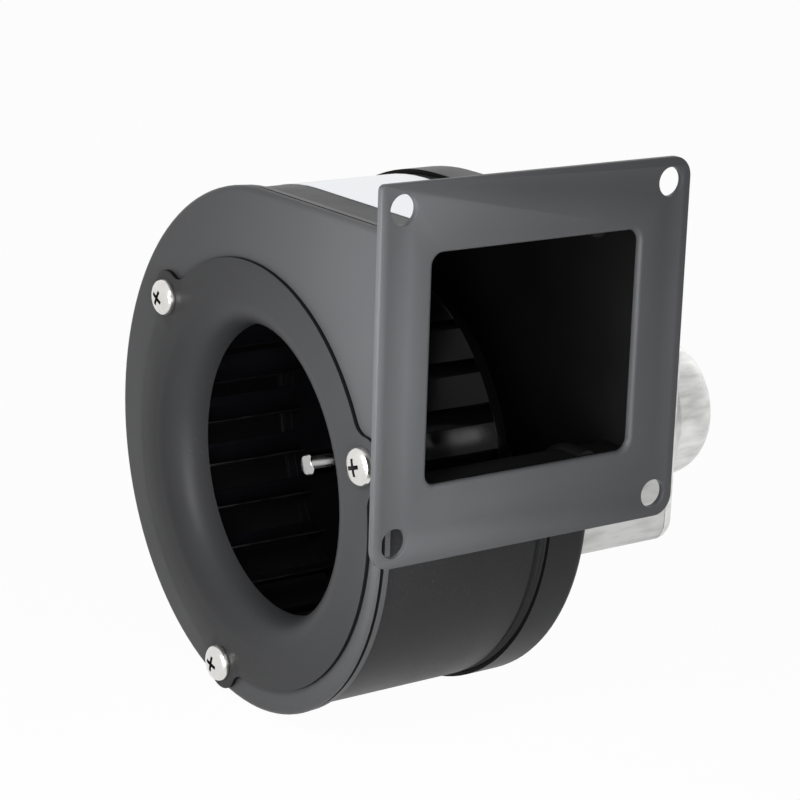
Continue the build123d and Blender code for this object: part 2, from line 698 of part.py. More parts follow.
# Rear bell: plate, cone and domed cap around the rear bearing
cone_end = bell_start + bell_base + cone_length
with BuildPart() as motor_rear_bell:
    with BuildSketch(fan_plane.offset(bell_start)):
        RectangleRounded(motor_width, motor_height, motor_corner)
    extrude(amount=bell_base)
    with BuildSketch(half_section) as bell_section:
        with BuildLine():
            Polyline(
                (bell_start, 0),
                (bell_start, motor_height / 2 - cone_inset),
                (bell_start + bell_base, motor_height / 2 - cone_inset),
                (cone_end, dome_radius),
                (bell_end, dome_radius),
                (bell_end, 0),
                close=True,
            )
        make_face()
        cap = bell_section.vertices().sort_by_distance((bell_end, dome_radius))[0]
        fillet(cap, radius=dome_round)
    revolve(axis=fan_axis)
    with BuildSketch(half_section):
        with BuildLine():
            Polyline(
                (bell_start, 0),
                (bell_start, slot_outside),
                (bell_start + bell_base, slot_outside),
                (rear_bearing_start - dome_seat_lead, bearing_radius + press_gap),
                (rear_seat_end, bearing_radius + press_gap),
                (rear_seat_end, 0),
                close=True,
            )
        make_face()
    revolve(axis=fan_axis, mode=Mode.SUBTRACT)
    with BuildSketch(fan_plane.offset(bell_start)):
        with GridLocations(through_screw_y, through_screw_z, 2, 2):
            Circle(motor_thread_radius + screw_play)
    extrude(amount=bell_base, mode=Mode.SUBTRACT)
motor_rear_bell.part.label = "motor_rear_bell"
export_step(motor_rear_bell.part, "parts/motor_rear_bell.step")

motor_through_screws = pan_head_screws(
    fan_plane.offset(bell_start + bell_base),
    GridLocations(through_screw_y, through_screw_z, 2, 2),
    motor_thread_radius,
    bell_base + shell_length + bracket_thickness - sheet - screw_end_gap,
    motor_head_radius,
    motor_head_height,
)
motor_through_screws.label = "motor_through_screws"
export_step(motor_through_screws, "parts/motor_through_screws.step")

# Stator: slotted core, coils that fill its slots, and insulators at its ends
with BuildSketch(mode=Mode.PRIVATE) as slot_profile:
    with PolarLocations(slot_inside + slot_depth / 2, slot_count):
        RectangleRounded(slot_depth, slot_width, slot_round)

with BuildPart() as stator_core:
    with BuildSketch(fan_plane.offset(core_start)):
        Rectangle(shell_inside_y - 2 * press_gap, shell_inside_z - 2 * press_gap)
        Circle(stator_bore, mode=Mode.SUBTRACT)
        add(slot_profile.sketch, mode=Mode.SUBTRACT)
        with PolarLocations(slot_inside, slot_count):
            Rectangle(2 * tooth_tip + slot_depth / 2, slot_mouth, mode=Mode.SUBTRACT)
        with GridLocations(through_screw_y, through_screw_z, 2, 2):
            Circle(motor_thread_radius + screw_play, mode=Mode.SUBTRACT)
    extrude(amount=stack_length)
stator_core.part.label = "stator_core"
export_step(stator_core.part, "parts/stator_core.step")

with BuildPart() as stator_windings:
    with BuildSketch(fan_plane.offset(core_start - insulator_thickness - winding_round)):
        with PolarLocations(slot_inside + slot_depth / 2, slot_count):
            RectangleRounded(
                slot_depth - 2 * slot_liner, slot_width - 2 * slot_liner, slot_round - slot_liner
            )
    extrude(amount=stack_length + 2 * (insulator_thickness + winding_round))
    with BuildSketch(half_section):
        for middle in (
            core_start - insulator_thickness - winding_overhang / 2,
            core_end + insulator_thickness + winding_overhang / 2,
        ):
            with Locations((middle, slot_inside + slot_depth / 2)):
                RectangleRounded(winding_overhang, slot_depth, winding_round)
    revolve(axis=fan_axis)
stator_windings.part.label = "stator_windings"
export_step(stator_windings.part, "parts/stator_windings.step")

with BuildPart() as stator_insulators:
    for face in (core_start - insulator_thickness, core_end):
        with BuildSketch(fan_plane.offset(face)):
            Circle(slot_outside + tooth_tip)
            Circle(slot_inside - tooth_tip / 2, mode=Mode.SUBTRACT)
            add(slot_profile.sketch, mode=Mode.SUBTRACT)
        extrude(amount=insulator_thickness)
stator_insulators.part.label = "stator_insulators"
export_step(stator_insulators.part, "parts/stator_insulators.step")

# Rotor: core and end rings pressed on the shaft
with BuildPart() as rotor_core:
    with BuildSketch(fan_plane.offset(core_start)):
        Circle(rotor_radius)
        Circle(shaft_radius + press_gap, mode=Mode.SUBTRACT)
    extrude(amount=stack_length)
rotor_core.part.label = "rotor_core"
export_step(rotor_core.part, "parts/rotor_core.step")

with BuildPart() as rotor_end_rings:
    with BuildSketch(half_section):
        for face in (core_start - end_ring_thickness, core_end):
            strip(face, face + end_ring_thickness, rotor_radius - end_ring_wall, rotor_radius)
    revolve(axis=fan_axis)
rotor_end_rings.part.label = "rotor_end_rings"
export_step(rotor_end_rings.part, "parts/rotor_end_rings.step")
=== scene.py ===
import bpy
import math
from mathutils import Matrix, Vector


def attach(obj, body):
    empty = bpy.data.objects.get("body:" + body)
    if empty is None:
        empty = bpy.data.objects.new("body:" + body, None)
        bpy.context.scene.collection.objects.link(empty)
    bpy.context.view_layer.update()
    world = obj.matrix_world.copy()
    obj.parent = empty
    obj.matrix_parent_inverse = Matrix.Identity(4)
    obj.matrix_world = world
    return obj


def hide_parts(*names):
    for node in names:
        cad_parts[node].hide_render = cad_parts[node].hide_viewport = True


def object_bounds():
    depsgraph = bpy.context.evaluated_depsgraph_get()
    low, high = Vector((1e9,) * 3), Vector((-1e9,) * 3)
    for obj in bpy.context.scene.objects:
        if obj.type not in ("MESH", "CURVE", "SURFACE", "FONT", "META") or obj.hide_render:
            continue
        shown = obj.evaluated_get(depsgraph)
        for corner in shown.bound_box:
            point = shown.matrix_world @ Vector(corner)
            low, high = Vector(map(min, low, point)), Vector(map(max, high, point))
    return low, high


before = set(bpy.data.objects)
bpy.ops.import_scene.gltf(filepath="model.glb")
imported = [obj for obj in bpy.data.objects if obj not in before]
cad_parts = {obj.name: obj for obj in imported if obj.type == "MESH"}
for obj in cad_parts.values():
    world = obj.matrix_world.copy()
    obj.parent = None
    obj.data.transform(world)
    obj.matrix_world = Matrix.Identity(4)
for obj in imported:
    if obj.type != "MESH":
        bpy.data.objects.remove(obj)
cad_low, cad_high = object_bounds()

# Sizes are in millimetres, counted from the fan axis at the front cover's outer face:
# x runs from the inlet to the motor, y away from the outlet, z up. MM turns them to metres.
MM = 0.001
FAN = Vector((-32.0, 73.02, -43.21))
TO_INLET = Vector((-1, 0, 0))
TO_MOTOR = Vector((1, 0, 0))
UPWARDS = Vector((0, 0, 1))
X_AXIS = (1, 0, 0)
Y_AXIS = (0, 1, 0)
Z_AXIS = (0, 0, 1)

# How near a vertex is to the place that picks it, how near vertices merge, how far cutters overshoot.
TOUCH = 0.01
NEAR = 0.1
WELD = 0.002
PAST = 1.0

# Housing
SHEET = 1.0
SCROLL_DEPTH = 64.0
MOUTH_Y = -71.22
TONGUE_Z = 14.8
TONGUE_CENTRE = (-65.02, 6.8)
TONGUE_END_Z = -2.7
TONGUE_STEPS = 14
SPIRAL_CENTRES = ((2.7, -2.7), (2.7, 2.7), (-2.7, 2.7))
SPIRAL_STEPS = 30
ROOF_START_Y = -2.7
ROOF_Z = 73.22
RIM_ROUND = 2.4
RIM_STEPS = 6
FRONT_RIM = 4.2
FRONT_ROUND = 1.7
FRONT_CUT = (-1.0, 3.0)
CRIMP_WIDTH = 0.5
CRIMP_DEPTH = 0.7
CRIMP_DROP = 0.15
BACK_RIM = 51.7
BACK_CUT = (61.0, 65.0)
WALL_INSET = 1.1
WALL_START = 2.5
WALL_END = 61.5
GROOVE_START = 48.7
GROOVE_END = 51.7
GROOVE_SIDE = 0.5
GROOVE_DEPTH = 1.2
TAB_LENGTH = 6.0
TAB_WIDTH = 34.0

# Inlet ring
RING_RADIUS = 55.02
RING_SHEET = 1.2
RING_SCREW_CIRCLE = 55.52
RING_SCREW_ANGLES = (42.1, 162.1, 282.1)
RING_SCREW_TWISTS = (28.0, 71.0, 12.0)
RING_HOLE_RADIUS = 2.75
EAR_RADIUS = 7.0
EAR_BLEND = 5.0
EAR_PITCH = 120.0
MOUTH_RADIUS = 45.5
MOUTH_FLAT = 2.5
MOUTH_ROLL = 8.0
MOUTH_STEPS = 144
LIP_END = 9.4
ACCESS_RADIUS = 52.02

# Outlet flange
FLANGE_WIDTH = 87.5
FLANGE_HEIGHT = 88.52
FLANGE_THICKNESS = 1.8
FLANGE_CORNER = 5.0
FLANGE_INLET_CORNER = 1.4
FLANGE_X = SCROLL_DEPTH / 2
FLANGE_Z = -FAN.z
FLANGE_FRONT = -FAN.y
FLANGE_BACK = FLANGE_FRONT + FLANGE_THICKNESS
OPENING_WIDTH = 59.0
OPENING_HEIGHT = 54.02
OPENING_Z = FLANGE_Z + 0.8
OPENING_CORNER = 3.0
OPENING_ROLL = 1.2
BOLT_SPACING = (75.7, 76.72)
BOLT_HOLE_RADIUS = 3.5

# Wheel, hub and shaft
WHEEL_START = 12.0
WHEEL_END = 44.0
WHEEL_SHEET = 0.8
WHEEL_INSIDE = 44.0
WHEEL_OUTSIDE = 50.82
WHEEL_SKIRT = 2.4
SKIRT_SHEET = 0.78
BLADE_COUNT = 24
BLADE_START = 12.8
BLADE_END = 43.2
BLADE_ARC_RADIUS = 5.29
BLADE_ARC_ANGLE = 93.5
BLADE_STEPS = 14
BORE_RADIUS = 3.02
HUB_RADIUS = 7.5
HUB_FLANGE_RADIUS = 13.0
HUB_START = 29.2
HUB_FLANGE_START = 41.2
SET_HOLE_X = 34.2
SET_HOLE_RADIUS = 2.02
SET_HOLE_REACH = 20.0
SHAFT_RADIUS = 3.0
SHAFT_START = 16.5
SHAFT_END = 132.0
SHAFT_CHAMFER = 0.6
FLAT_DEPTH = 0.5
FLAT_TURN = 60.0

# Motor
MOTOR_WIDTH = 60.0
MOTOR_HEIGHT = 58.0
MOTOR_CORNER = 7.0
MOTOR_WALL = 2.5
MOTOR_START = 64.0
SHELL_START = 70.0
BELL_START = 112.0
BELL_BASE = 4.0
BELL_FACE = BELL_START + BELL_BASE
BELL_SHOULDER = 3.6
BELL_END = 140.0
BELL_HOLLOW_RADIUS = 23.5
CONE_START_RADIUS = 28.0
CONE_END = 125.0
DOME_RADIUS = 19.5
DOME_ROUND = 8.0
BOSS_RADIUS = 14.0
BOSS_START = 58.0
PILOT_RADIUS = 14.1
BEARING_RADIUS = 9.52
BEARING_LIP_RADIUS = 6.5
FRONT_SEAT_START = 60.0
REAR_SEAT_END = 133.0
MOUNT_CIRCLE = 23.0
MOUNT_ANGLES = (0, 90, 180, 270)
MOUNT_HOLE_RADIUS = 2.25
MOUNT_THREAD_RADIUS = 2.02
MOUNT_TWISTS = (15.0, 30.0, 45.0, 60.0)
THROUGH_SCREW_PLACES = ((-23.5, -22.5), (23.5, -22.5), (-23.5, 22.5), (23.5, 22.5))
THROUGH_SCREW_TWISTS = (20.0, 65.0, 40.0, 80.0)
THROUGH_HOLE_RADIUS = 2.25
SINK_RADIUS = 4.0
SINK_START = BELL_FACE - 2.6
LEAD_HOLE_RADIUS = 3.1
LEAD_HOLE_DEPTH = 4.0
LEAD_X = 107.5
LEAD_Z = -12.0

# Screws: radius and height of the head, radius and length of the thread.
RING_SCREW = (4.8, 3.1, 2.5, 6.1)
THROUGH_SCREW = (3.6, 2.6, 2.0, 50.3)
MOUNT_SCREW = (3.6, 2.6, 2.0, 6.5)
THREAD_CHAMFER = 0.4
# Shares of a screw head's height and radius: steps of its outline, its roundness and its recess.
HEAD_STEPS = ((0.42, 0.0), (0.34, 0.12), (0.24, 0.48), (0.0, 0.4))
HEAD_ROUND = 0.22
RECESS_ARM = 0.55
RECESS_SLOT = 0.12
RECESS_TIP = 0.55
RECESS_DEPTH = 1.7

# Label on the roof
LABEL_START = 16.4
LABEL_WIDTH = 32.0
LABEL_FRONT_Y = -50.0
LABEL_BEND = 14.0
LABEL_LIFT = 0.12
LABEL_SHEET = 0.11

# Colours: each finish wanders between its two.
POWDER_BLACK = ((0.052, 0.053, 0.056), (0.066, 0.067, 0.070))
DUST = (0.12, 0.115, 0.105)
# Painted shade: near black for the housing's insides, cut edges, crimp and screw recesses.
PAINTED_SHADE_BLACK = ((0.002, 0.002, 0.002), (0.005, 0.005, 0.005))
# Black paint, deepened as painted shade for the wheel inside the housing.
WHEEL_BLACK_AND_SHADE = ((0.0015, 0.0015, 0.002), (0.004, 0.004, 0.005))
NICKEL = ((0.66, 0.65, 0.62), (0.78, 0.77, 0.75))
# Partly painted shade: the inner screws' black is kept deep to sink into the housing's shade.
OXIDE_AND_SHADE_BLACK = ((0.006, 0.006, 0.007), (0.016, 0.016, 0.018))
CAST_METAL = ((0.41, 0.41, 0.405), (0.78, 0.78, 0.77))
GROUND_METAL = ((0.36, 0.36, 0.36), (0.60, 0.60, 0.59))
BEARING_METAL = ((0.62, 0.62, 0.62), (0.74, 0.74, 0.74))
LAMINATION_METAL = ((0.20, 0.20, 0.21), (0.36, 0.36, 0.37))
TURNED_METAL = ((0.34, 0.34, 0.34), (0.48, 0.48, 0.47))
COPPER = ((0.30, 0.08, 0.025), (0.62, 0.22, 0.08))
CREAM = ((0.62, 0.58, 0.47), (0.72, 0.69, 0.58))
RUBBER_BLACK = ((0.012, 0.012, 0.012), (0.03, 0.03, 0.03))
FOIL = ((0.60, 0.61, 0.63), (0.74, 0.75, 0.77))
# Noise seldom leaves this range.
NOISE_RANGE = (0.3, 0.7)

# Studio, in metres and watts
FLOOR_SIZE = 6.0
FLOOR_GAP = 0.0005
FLOOR_SHADE = 0.6
FLOOR_GLOW = 0.97
AMBIENT = 0.12
LAMP_AIM = Vector((-0.02, 0.03, -0.02))
# Each lamp's place, size and power.
LAMPS = {
    "front_lamp": ((-0.05, -0.35, 0.35), 0.25, 0.38),
    "inlet_lamp": ((-0.115, -0.02, 0.02), 0.08, 0.26),
    "back_lamp": ((0.7, 0.6, 0.6), 1.6, 2.0),
    "outlet_lamp": ((-0.12, -0.15, -0.04), 0.14, 0.46),
}
CAMERA_PLACE = (-0.333779, -0.428508, 0.143575)
CAMERA_RIGHT = Vector((0.826871, -0.561625, 0.029366))
CAMERA_UP = Vector((0.130345, 0.242177, 0.961437))
CAMERA_LENS = 109.789
CAMERA_SENSOR = 36.0
CAMERA_CLIP = (0.01, 20.0)


# Modelling


def place(x, y, z):
    """A place beside the fan axis, in the shared frame and in metres."""
    return (FAN + Vector((x, y, z))) * MM


def on_circle(angle, radius):
    """A place on a circle about the fan axis."""
    turn_angle = math.radians(angle)
    return (0.0, radius * math.cos(turn_angle), radius * math.sin(turn_angle))


def rename(piece, name):
    """Names a piece and its mesh."""
    piece.name = name
    piece.data.name = name
    return piece


def take(piece):
    """Selects a piece alone."""
    bpy.ops.object.select_all(action="DESELECT")
    bpy.context.view_layer.objects.active = piece
    piece.select_set(True)


def edit(piece):
    """Enters edit mode on a piece."""
    bpy.context.view_layer.objects.active = piece
    bpy.ops.object.mode_set(mode="EDIT")


def leave():
    """Leaves edit mode."""
    bpy.ops.object.mode_set(mode="OBJECT")


def take_all():
    """Selects the whole mesh."""
    bpy.ops.mesh.select_all(action="SELECT")


def choose(piece, rule, kind="VERT"):
    """Selects the vertices, edges or faces that a rule picks by their place from the fan axis."""
    bpy.ops.mesh.select_mode(type=kind)
    bpy.ops.mesh.select_all(action="DESELECT")
    leave()
    mesh = piece.data
    places = [vertex.co / MM - FAN for vertex in mesh.vertices]
    if kind == "VERT":
        for vertex, where in zip(mesh.vertices, places):
            vertex.select = rule(where)
    else:
        parts = mesh.edges if kind == "EDGE" else mesh.polygons
        for part in parts:
            part.select = all(rule(places[index]) for index in part.vertices)
    edit(piece)


def start_line(name, first):
    """Starts a new mesh, in edit mode, as one selected vertex at a place."""
    bpy.ops.object.select_all(action="DESELECT")
    bpy.ops.mesh.primitive_plane_add(size=MM, location=(0, 0, 0))
    piece = rename(bpy.context.object, name)
    edit(piece)
    bpy.ops.mesh.select_mode(type="VERT")
    take_all()
    bpy.ops.mesh.merge(type="CENTER")
    bpy.ops.transform.translate(value=place(*first))
    return piece


def draw(x=0.0, y=0.0, z=0.0):
    """Extrudes what is selected by a step in millimetres."""
    bpy.ops.mesh.extrude_context_move(TRANSFORM_OT_translate={"value": Vector((x, y, z)) * MM})


def sweep(centre, axis, degrees, steps):
    """Spins what is selected about a place. The operator counts its angle the other way."""
    bpy.ops.mesh.spin(steps=steps, angle=-math.radians(degrees), center=place(*centre), axis=axis)


def weld():
    """Merges the vertices of the mesh that lie on each other."""
    take_all()
    bpy.ops.mesh.remove_doubles(threshold=WELD * MM)


def even_sides():
    """Makes all faces of the mesh look to the same side."""
    take_all()
    bpy.ops.mesh.normals_make_consistent(inside=False)


def turn(steps):
    """Spins the drawn profile once round the fan axis and closes its seam and poles."""
    take_all()
    sweep((0, 0, 0), X_AXIS, 360, steps)
    weld()
    even_sides()


def close_ends(piece):
    """Joins the two loose ends of a drawn profile."""
    bpy.ops.mesh.select_all(action="DESELECT")
    leave()
    uses = [0] * len(piece.data.vertices)
    for edge in piece.data.edges:
        for index in edge.vertices:
            uses[index] += 1
    for vertex in piece.data.vertices:
        vertex.select = uses[vertex.index] == 1
    edit(piece)
    bpy.ops.mesh.select_mode(type="VERT")
    bpy.ops.mesh.edge_face_add()


def round_corners(width, segments):
    """Rounds the selected corners of a drawn profile."""
    bpy.ops.mesh.bevel(offset=width * MM, segments=segments, affect="VERTICES")
    bpy.ops.mesh.select_mode(type="VERT")


def round_edges(width, segments):
    """Rounds the selected edges."""
    bpy.ops.mesh.bevel(offset=width * MM, segments=segments)


def face_outwards(piece, direction, measure=lambda face: face.area):
    """Turns an open sheet over if the face with the largest measure looks against a direction."""
    largest = max(piece.data.polygons, key=measure)
    if largest.normal.dot(direction) < 0:
        piece.data.flip_normals()


def modify(piece, kind, **settings):
    """Adds a modifier with its settings and applies it."""
    take(piece)
    modifier = piece.modifiers.new(kind.title(), kind)
    for name, setting in settings.items():
        setattr(modifier, name, setting)
    bpy.ops.object.modifier_apply(modifier=modifier.name)


def combine(piece, other, operation, **settings):
    """Cuts another shape out of a piece or unites it with the piece, and removes the shape."""
    modify(piece, "BOOLEAN", object=other, operation=operation, solver="EXACT", **settings)
    bpy.data.objects.remove(other)


def cut(piece, *cutters):
    """Cuts shapes out of a piece."""
    for cutter in cutters:
        combine(piece, cutter, "DIFFERENCE")


def lay_on(piece, *coats):
    """Gives a piece its materials."""
    for coat in coats:
        piece.data.materials.append(coat)


def thicken(piece, thickness, offset=-1.0, coats=(), back=1):
    """Gives a sheet its thickness: an offset of -1 builds behind its faces, and 0 about them.

    A second coat is for its cut edges, and for its back too unless back is 0; on the housing's sheets that
    coat is near black, as painted shade.
    """
    if not piece.data.materials:
        lay_on(piece, *coats)
    second = len(coats) // 2
    modify(
        piece, "SOLIDIFY", thickness=thickness * MM, offset=offset, use_even_offset=True,
        material_offset=back * second, material_offset_rim=second,
    )


def ease(piece, width, segments=2, angle=40.0):
    """Rounds the sharp edges of a piece."""
    modify(
        piece, "BEVEL", width=width * MM, segments=segments, limit_method="ANGLE",
        angle_limit=math.radians(angle), harden_normals=False, use_clamp_overlap=True,
    )


def smooth(piece, angle=35.0):
    """Shades the gentle folds of a piece smooth and its edges sharp."""
    take(piece)
    bpy.ops.object.shade_smooth_by_angle(angle=math.radians(angle))


def copy(piece, name):
    """A second piece of the same shape, with its own mesh."""
    twin = piece.copy()
    twin.data = piece.data.copy()
    bpy.context.collection.objects.link(twin)
    return rename(twin, name)


def turned(piece, degrees):
    """Turns a piece's mesh round the fan axis."""
    centre = place(0, 0, 0)
    about = Matrix.Translation(centre) @ Matrix.Rotation(math.radians(degrees), 4, "X")
    piece.data.transform(about @ Matrix.Translation(-centre))
    piece.data.update()
    return piece


def moved(piece, x=0.0, y=0.0, z=0.0):
    """Moves a piece's mesh by a step in millimetres."""
    piece.data.transform(Matrix.Translation(Vector((x, y, z)) * MM))
    piece.data.update()
    return piece


def joined(name, pieces):
    """Joins several pieces into one, with one mesh."""
    bpy.ops.object.select_all(action="DESELECT")
    for piece in pieces:
        piece.select_set(True)
    bpy.context.view_layer.objects.active = pieces[0]
    bpy.ops.object.join()
    return rename(pieces[0], name)


def block(name, low, high, corner=0.0, along="X", segments=6):
    """A rectangular block between two places, with its edges along one axis rounded."""
    bpy.ops.object.select_all(action="DESELECT")
    bpy.ops.mesh.primitive_cube_add(size=MM, location=(0, 0, 0))
    piece = rename(bpy.context.object, name)
    size = Vector(high) - Vector(low)
    middle = (Vector(low) + Vector(high)) / 2
    edit(piece)
    take_all()
    bpy.ops.transform.resize(value=size)
    bpy.ops.transform.translate(value=place(*middle))
    if corner:
        choose_edges_along(piece, "XYZ".index(along))
        round_edges(corner, segments)
    leave()
    return piece


def choose_edges_along(piece, axis):
    """Selects the edges of a block that run along an axis."""
    bpy.ops.mesh.select_mode(type="EDGE")
    bpy.ops.mesh.select_all(action="DESELECT")
    leave()
    for edge in piece.data.edges:
        first, second = (piece.data.vertices[index].co for index in edge.vertices)
        edge.select = abs(first[axis] - second[axis]) > NEAR * MM
    edit(piece)


def rod(name, radius, start, end, middle=(0, 0, 0), along="X", vertices=48):
    """A round rod along an axis, for cutting holes."""
    turns = {"X": (0, math.pi / 2, 0), "Y": (math.pi / 2, 0, 0), "Z": (0, 0, 0)}
    bpy.ops.object.select_all(action="DESELECT")
    centre = Vector(middle)
    centre["XYZ".index(along)] = (start + end) / 2
    bpy.ops.mesh.primitive_cylinder_add(
        vertices=vertices, radius=radius * MM, depth=(end - start) * MM,
        location=place(*centre), rotation=turns[along],
    )
    piece = bpy.context.object
    bpy.ops.object.transform_apply(location=True, rotation=True, scale=True)
    return rename(piece, name)


def circle_of_rods(radius, ends, circle, angles):
    """Rods for a circle of holes about the fan axis."""
    return [rod("hole", radius, *ends, on_circle(angle, circle)) for angle in angles]


def finish_piece(piece, body, slot, material, *nodes):
    """Paints a piece, makes it ride on its body and stand for its CAD nodes."""
    if not piece.data.materials:
        lay_on(piece, material)
    if nodes:
        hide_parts(*nodes)
    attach(piece, body)


# Materials


class Value:
    """An output of a shader node. Sums and products with it add Math nodes."""

    def __init__(self, finish, socket):
        self.finish = finish
        self.socket = socket

    def maths(self, operation, first, second):
        """Adds a Math node."""
        return self.finish.node("ShaderNodeMath", {"operation": operation}, {0: first, 1: second})

    def __add__(self, other):
        return self.maths("ADD", self, other)

    __radd__ = __add__

    def __mul__(self, other):
        return self.maths("MULTIPLY", self, other)

    __rmul__ = __mul__


class Finish:
    """The shader nodes of a material or of the world."""

    def __init__(self, owner):
        self.owner = owner
        owner.use_nodes = True
        self.tree = owner.node_tree
        self.tree.nodes.clear()

    def node(self, kind, settings, sockets, output=0):
        """Adds a node, with its settings first and then its sockets' values or links."""
        made = self.tree.nodes.new(kind)
        for name, setting in settings.items():
            setattr(made, name, setting)
        for name, source in sockets.items():
            if isinstance(source, Value):
                self.tree.links.new(source.socket, made.inputs[name])
            else:
                made.inputs[name].default_value = source
        return Value(self, made.outputs[output]) if made.outputs else None

    def spot(self):
        """Where the surface is, in the piece's own axes."""
        return self.node("ShaderNodeTexCoord", {}, {}, output="Object")

    def stretched(self, scale):
        """The place on the surface, stretched along the axes."""
        return self.node("ShaderNodeMapping", {}, {"Vector": self.spot(), "Scale": scale})

    def noise(self, cells, detail=3.0, roughness=0.5, spot=None):
        """Cloudy noise, about 0 to 1, with so many cells to a metre."""
        sockets = {"Vector": spot or self.spot(), "Scale": cells, "Detail": detail, "Roughness": roughness}
        return self.node("ShaderNodeTexNoise", {"noise_dimensions": "3D"}, sockets)

    def between(self, value, low, high, start=0.0, end=1.0):
        """Maps a range of values to another, and clamps it."""
        sockets = {"Value": value, "From Min": low, "From Max": high, "To Min": start, "To Max": end}
        return self.node("ShaderNodeMapRange", {"clamp": True}, sockets)

    def uneven(self, noise, low, high):
        """A level that wanders between two values with a noise."""
        return self.between(noise, *NOISE_RANGE, low, high)

    def blend(self, share, first, second):
        """Mixes two colours. The Mix node's colours are its inputs 6 and 7 and its output 2."""
        return self.node("ShaderNodeMix", {"data_type": "RGBA"}, {0: share, 6: first, 7: second}, output=2)

    def colour(self, share, pair, light=1.0):
        """Mixes the two colours of a finish, made lighter or darker."""
        return self.blend(share, tint(pair[0], light), tint(pair[1], light))

    def bump(self, height, depth, strength):
        """A bumpy surface of that depth in millimetres."""
        sockets = {"Height": height, "Distance": depth * MM, "Strength": strength}
        return self.node("ShaderNodeBump", {}, sockets)

    def done(self, **sockets):
        """Ends with the Principled shader. Its sockets are written with underscores."""
        named = {name.replace("_", " "): source for name, source in sockets.items()}
        shader = self.node("ShaderNodeBsdfPrincipled", {}, named)
        self.node("ShaderNodeOutputMaterial", {}, {"Surface": shader})
        return self.owner

    def seen_white(self):
        """1 for the rays that see the backdrop: of the camera, of gloss and through glass."""
        camera = self.node("ShaderNodeLightPath", {}, {}, output="Is Camera Ray")
        glossy = self.node("ShaderNodeLightPath", {}, {}, output="Is Glossy Ray")
        through = self.node("ShaderNodeLightPath", {}, {}, output="Is Transmission Ray")
        return camera.maths("MAXIMUM", camera.maths("MAXIMUM", camera, glossy), through)


def paint(name):
    """The shader nodes of a new material."""
    return Finish(bpy.data.materials.new(name))


def tint(colour, light=1.0):
    """A colour made lighter or darker."""
    red, green, blue = colour
    return (red * light, green * light, blue * light, 1.0)


def grey(level):
    """A grey of that level."""
    return (level, level, level, 1.0)


def powder_coat(name, light=1.0, gloss=0.2):
    """Satin black powder coat with a fine orange peel and a little dust. A light below 1 gives a darker
    copy of it, as painted shade.
    """
    finish = paint(name)
    clouds = finish.noise(cells=35.0, detail=4.0)
    peel = finish.noise(cells=900.0, detail=2.0, roughness=0.45)
    specks = finish.between(finish.noise(cells=2600.0, detail=1.0), 0.66, 0.74)
    patches = finish.between(clouds, 0.45, 0.7, start=0.0, end=0.35)
    clean = finish.colour(clouds, POWDER_BLACK, light)
    return finish.done(
        Base_Color=finish.blend(specks * patches, clean, tint(DUST)),
        Roughness=finish.uneven(clouds, 0.36, 0.44) + 0.06 * peel,
        Specular_IOR_Level=gloss,
        Normal=finish.bump(peel, depth=0.03, strength=0.35),
    )


def painted_shade_coat():
    """Painted shade: near-black matt coat where the light hardly reaches: the housing's insides, its
    sheets' cut edges, the front cover's crimp and the screws' recesses.
    """
    finish = paint("painted_shade_coat")
    clouds = finish.noise(cells=50.0, detail=4.0)
    grain = finish.noise(cells=1200.0, detail=2.0)
    return finish.done(
        Base_Color=finish.colour(clouds, PAINTED_SHADE_BLACK),
        Roughness=finish.uneven(clouds, 0.5, 0.62),
        Specular_IOR_Level=0.1,
        Normal=finish.bump(grain, depth=0.03, strength=0.35),
    )


def wheel_paint(name, gloss):
    """Smooth black dip paint of the wheel, with faint runs; its black is deepened far below the housing's
    to stand for the shade inside, partly painted shade.
    """
    finish = paint(name)
    clouds = finish.noise(cells=60.0, detail=4.0)
    runs = finish.noise(cells=300.0, detail=2.0)
    return finish.done(
        Base_Color=finish.colour(clouds, WHEEL_BLACK_AND_SHADE),
        Roughness=finish.uneven(clouds, 0.12, 0.22),
        Specular_IOR_Level=gloss,
        Normal=finish.bump(runs, depth=0.03, strength=0.3),
    )


def nickel_plate():
    """Bright nickel plating with faint haze and wear."""
    finish = paint("nickel_plate")
    haze = finish.noise(cells=700.0, detail=4.0)
    marks = finish.noise(cells=250.0, detail=5.0, roughness=0.65)
    return finish.done(
        Base_Color=finish.colour(haze, NICKEL),
        Metallic=1.0,
        Roughness=finish.between(marks, 0.35, 0.7, start=0.16, end=0.34),
        Normal=finish.bump(haze, depth=0.01, strength=0.25),
    )


def shade_blackened_steel():
    """Black-oxidised steel for the screws inside the housing, kept near black so they sink into the shade
    there: partly painted shade.
    """
    finish = paint("shade_blackened_steel")
    haze = finish.noise(cells=500.0)
    return finish.done(
        Base_Color=finish.colour(haze, OXIDE_AND_SHADE_BLACK),
        Metallic=0.6,
        Roughness=finish.uneven(haze, 0.3, 0.45),
    )


def cast_aluminium(name, light=1.0):
    """Polished die-cast aluminium with soft clouding and fine pores. A light below 1 gives a darker copy of
    it, as painted shade.
    """
    finish = paint(name)
    clouds = finish.noise(cells=32.0)
    scuffs = finish.noise(cells=420.0, detail=4.0, spot=finish.stretched((0.25, 1.0, 1.0)))
    grain = finish.noise(cells=1800.0, detail=2.0)
    wear = finish.between(0.6 * clouds + 0.4 * scuffs, 0.36, 0.62)
    return finish.done(
        Base_Color=finish.colour(wear, CAST_METAL, light),
        Metallic=1.0,
        Roughness=finish.uneven(clouds, 0.2, 0.4) + 0.08 * grain,
        Normal=finish.bump(grain, depth=0.02, strength=0.3),
    )


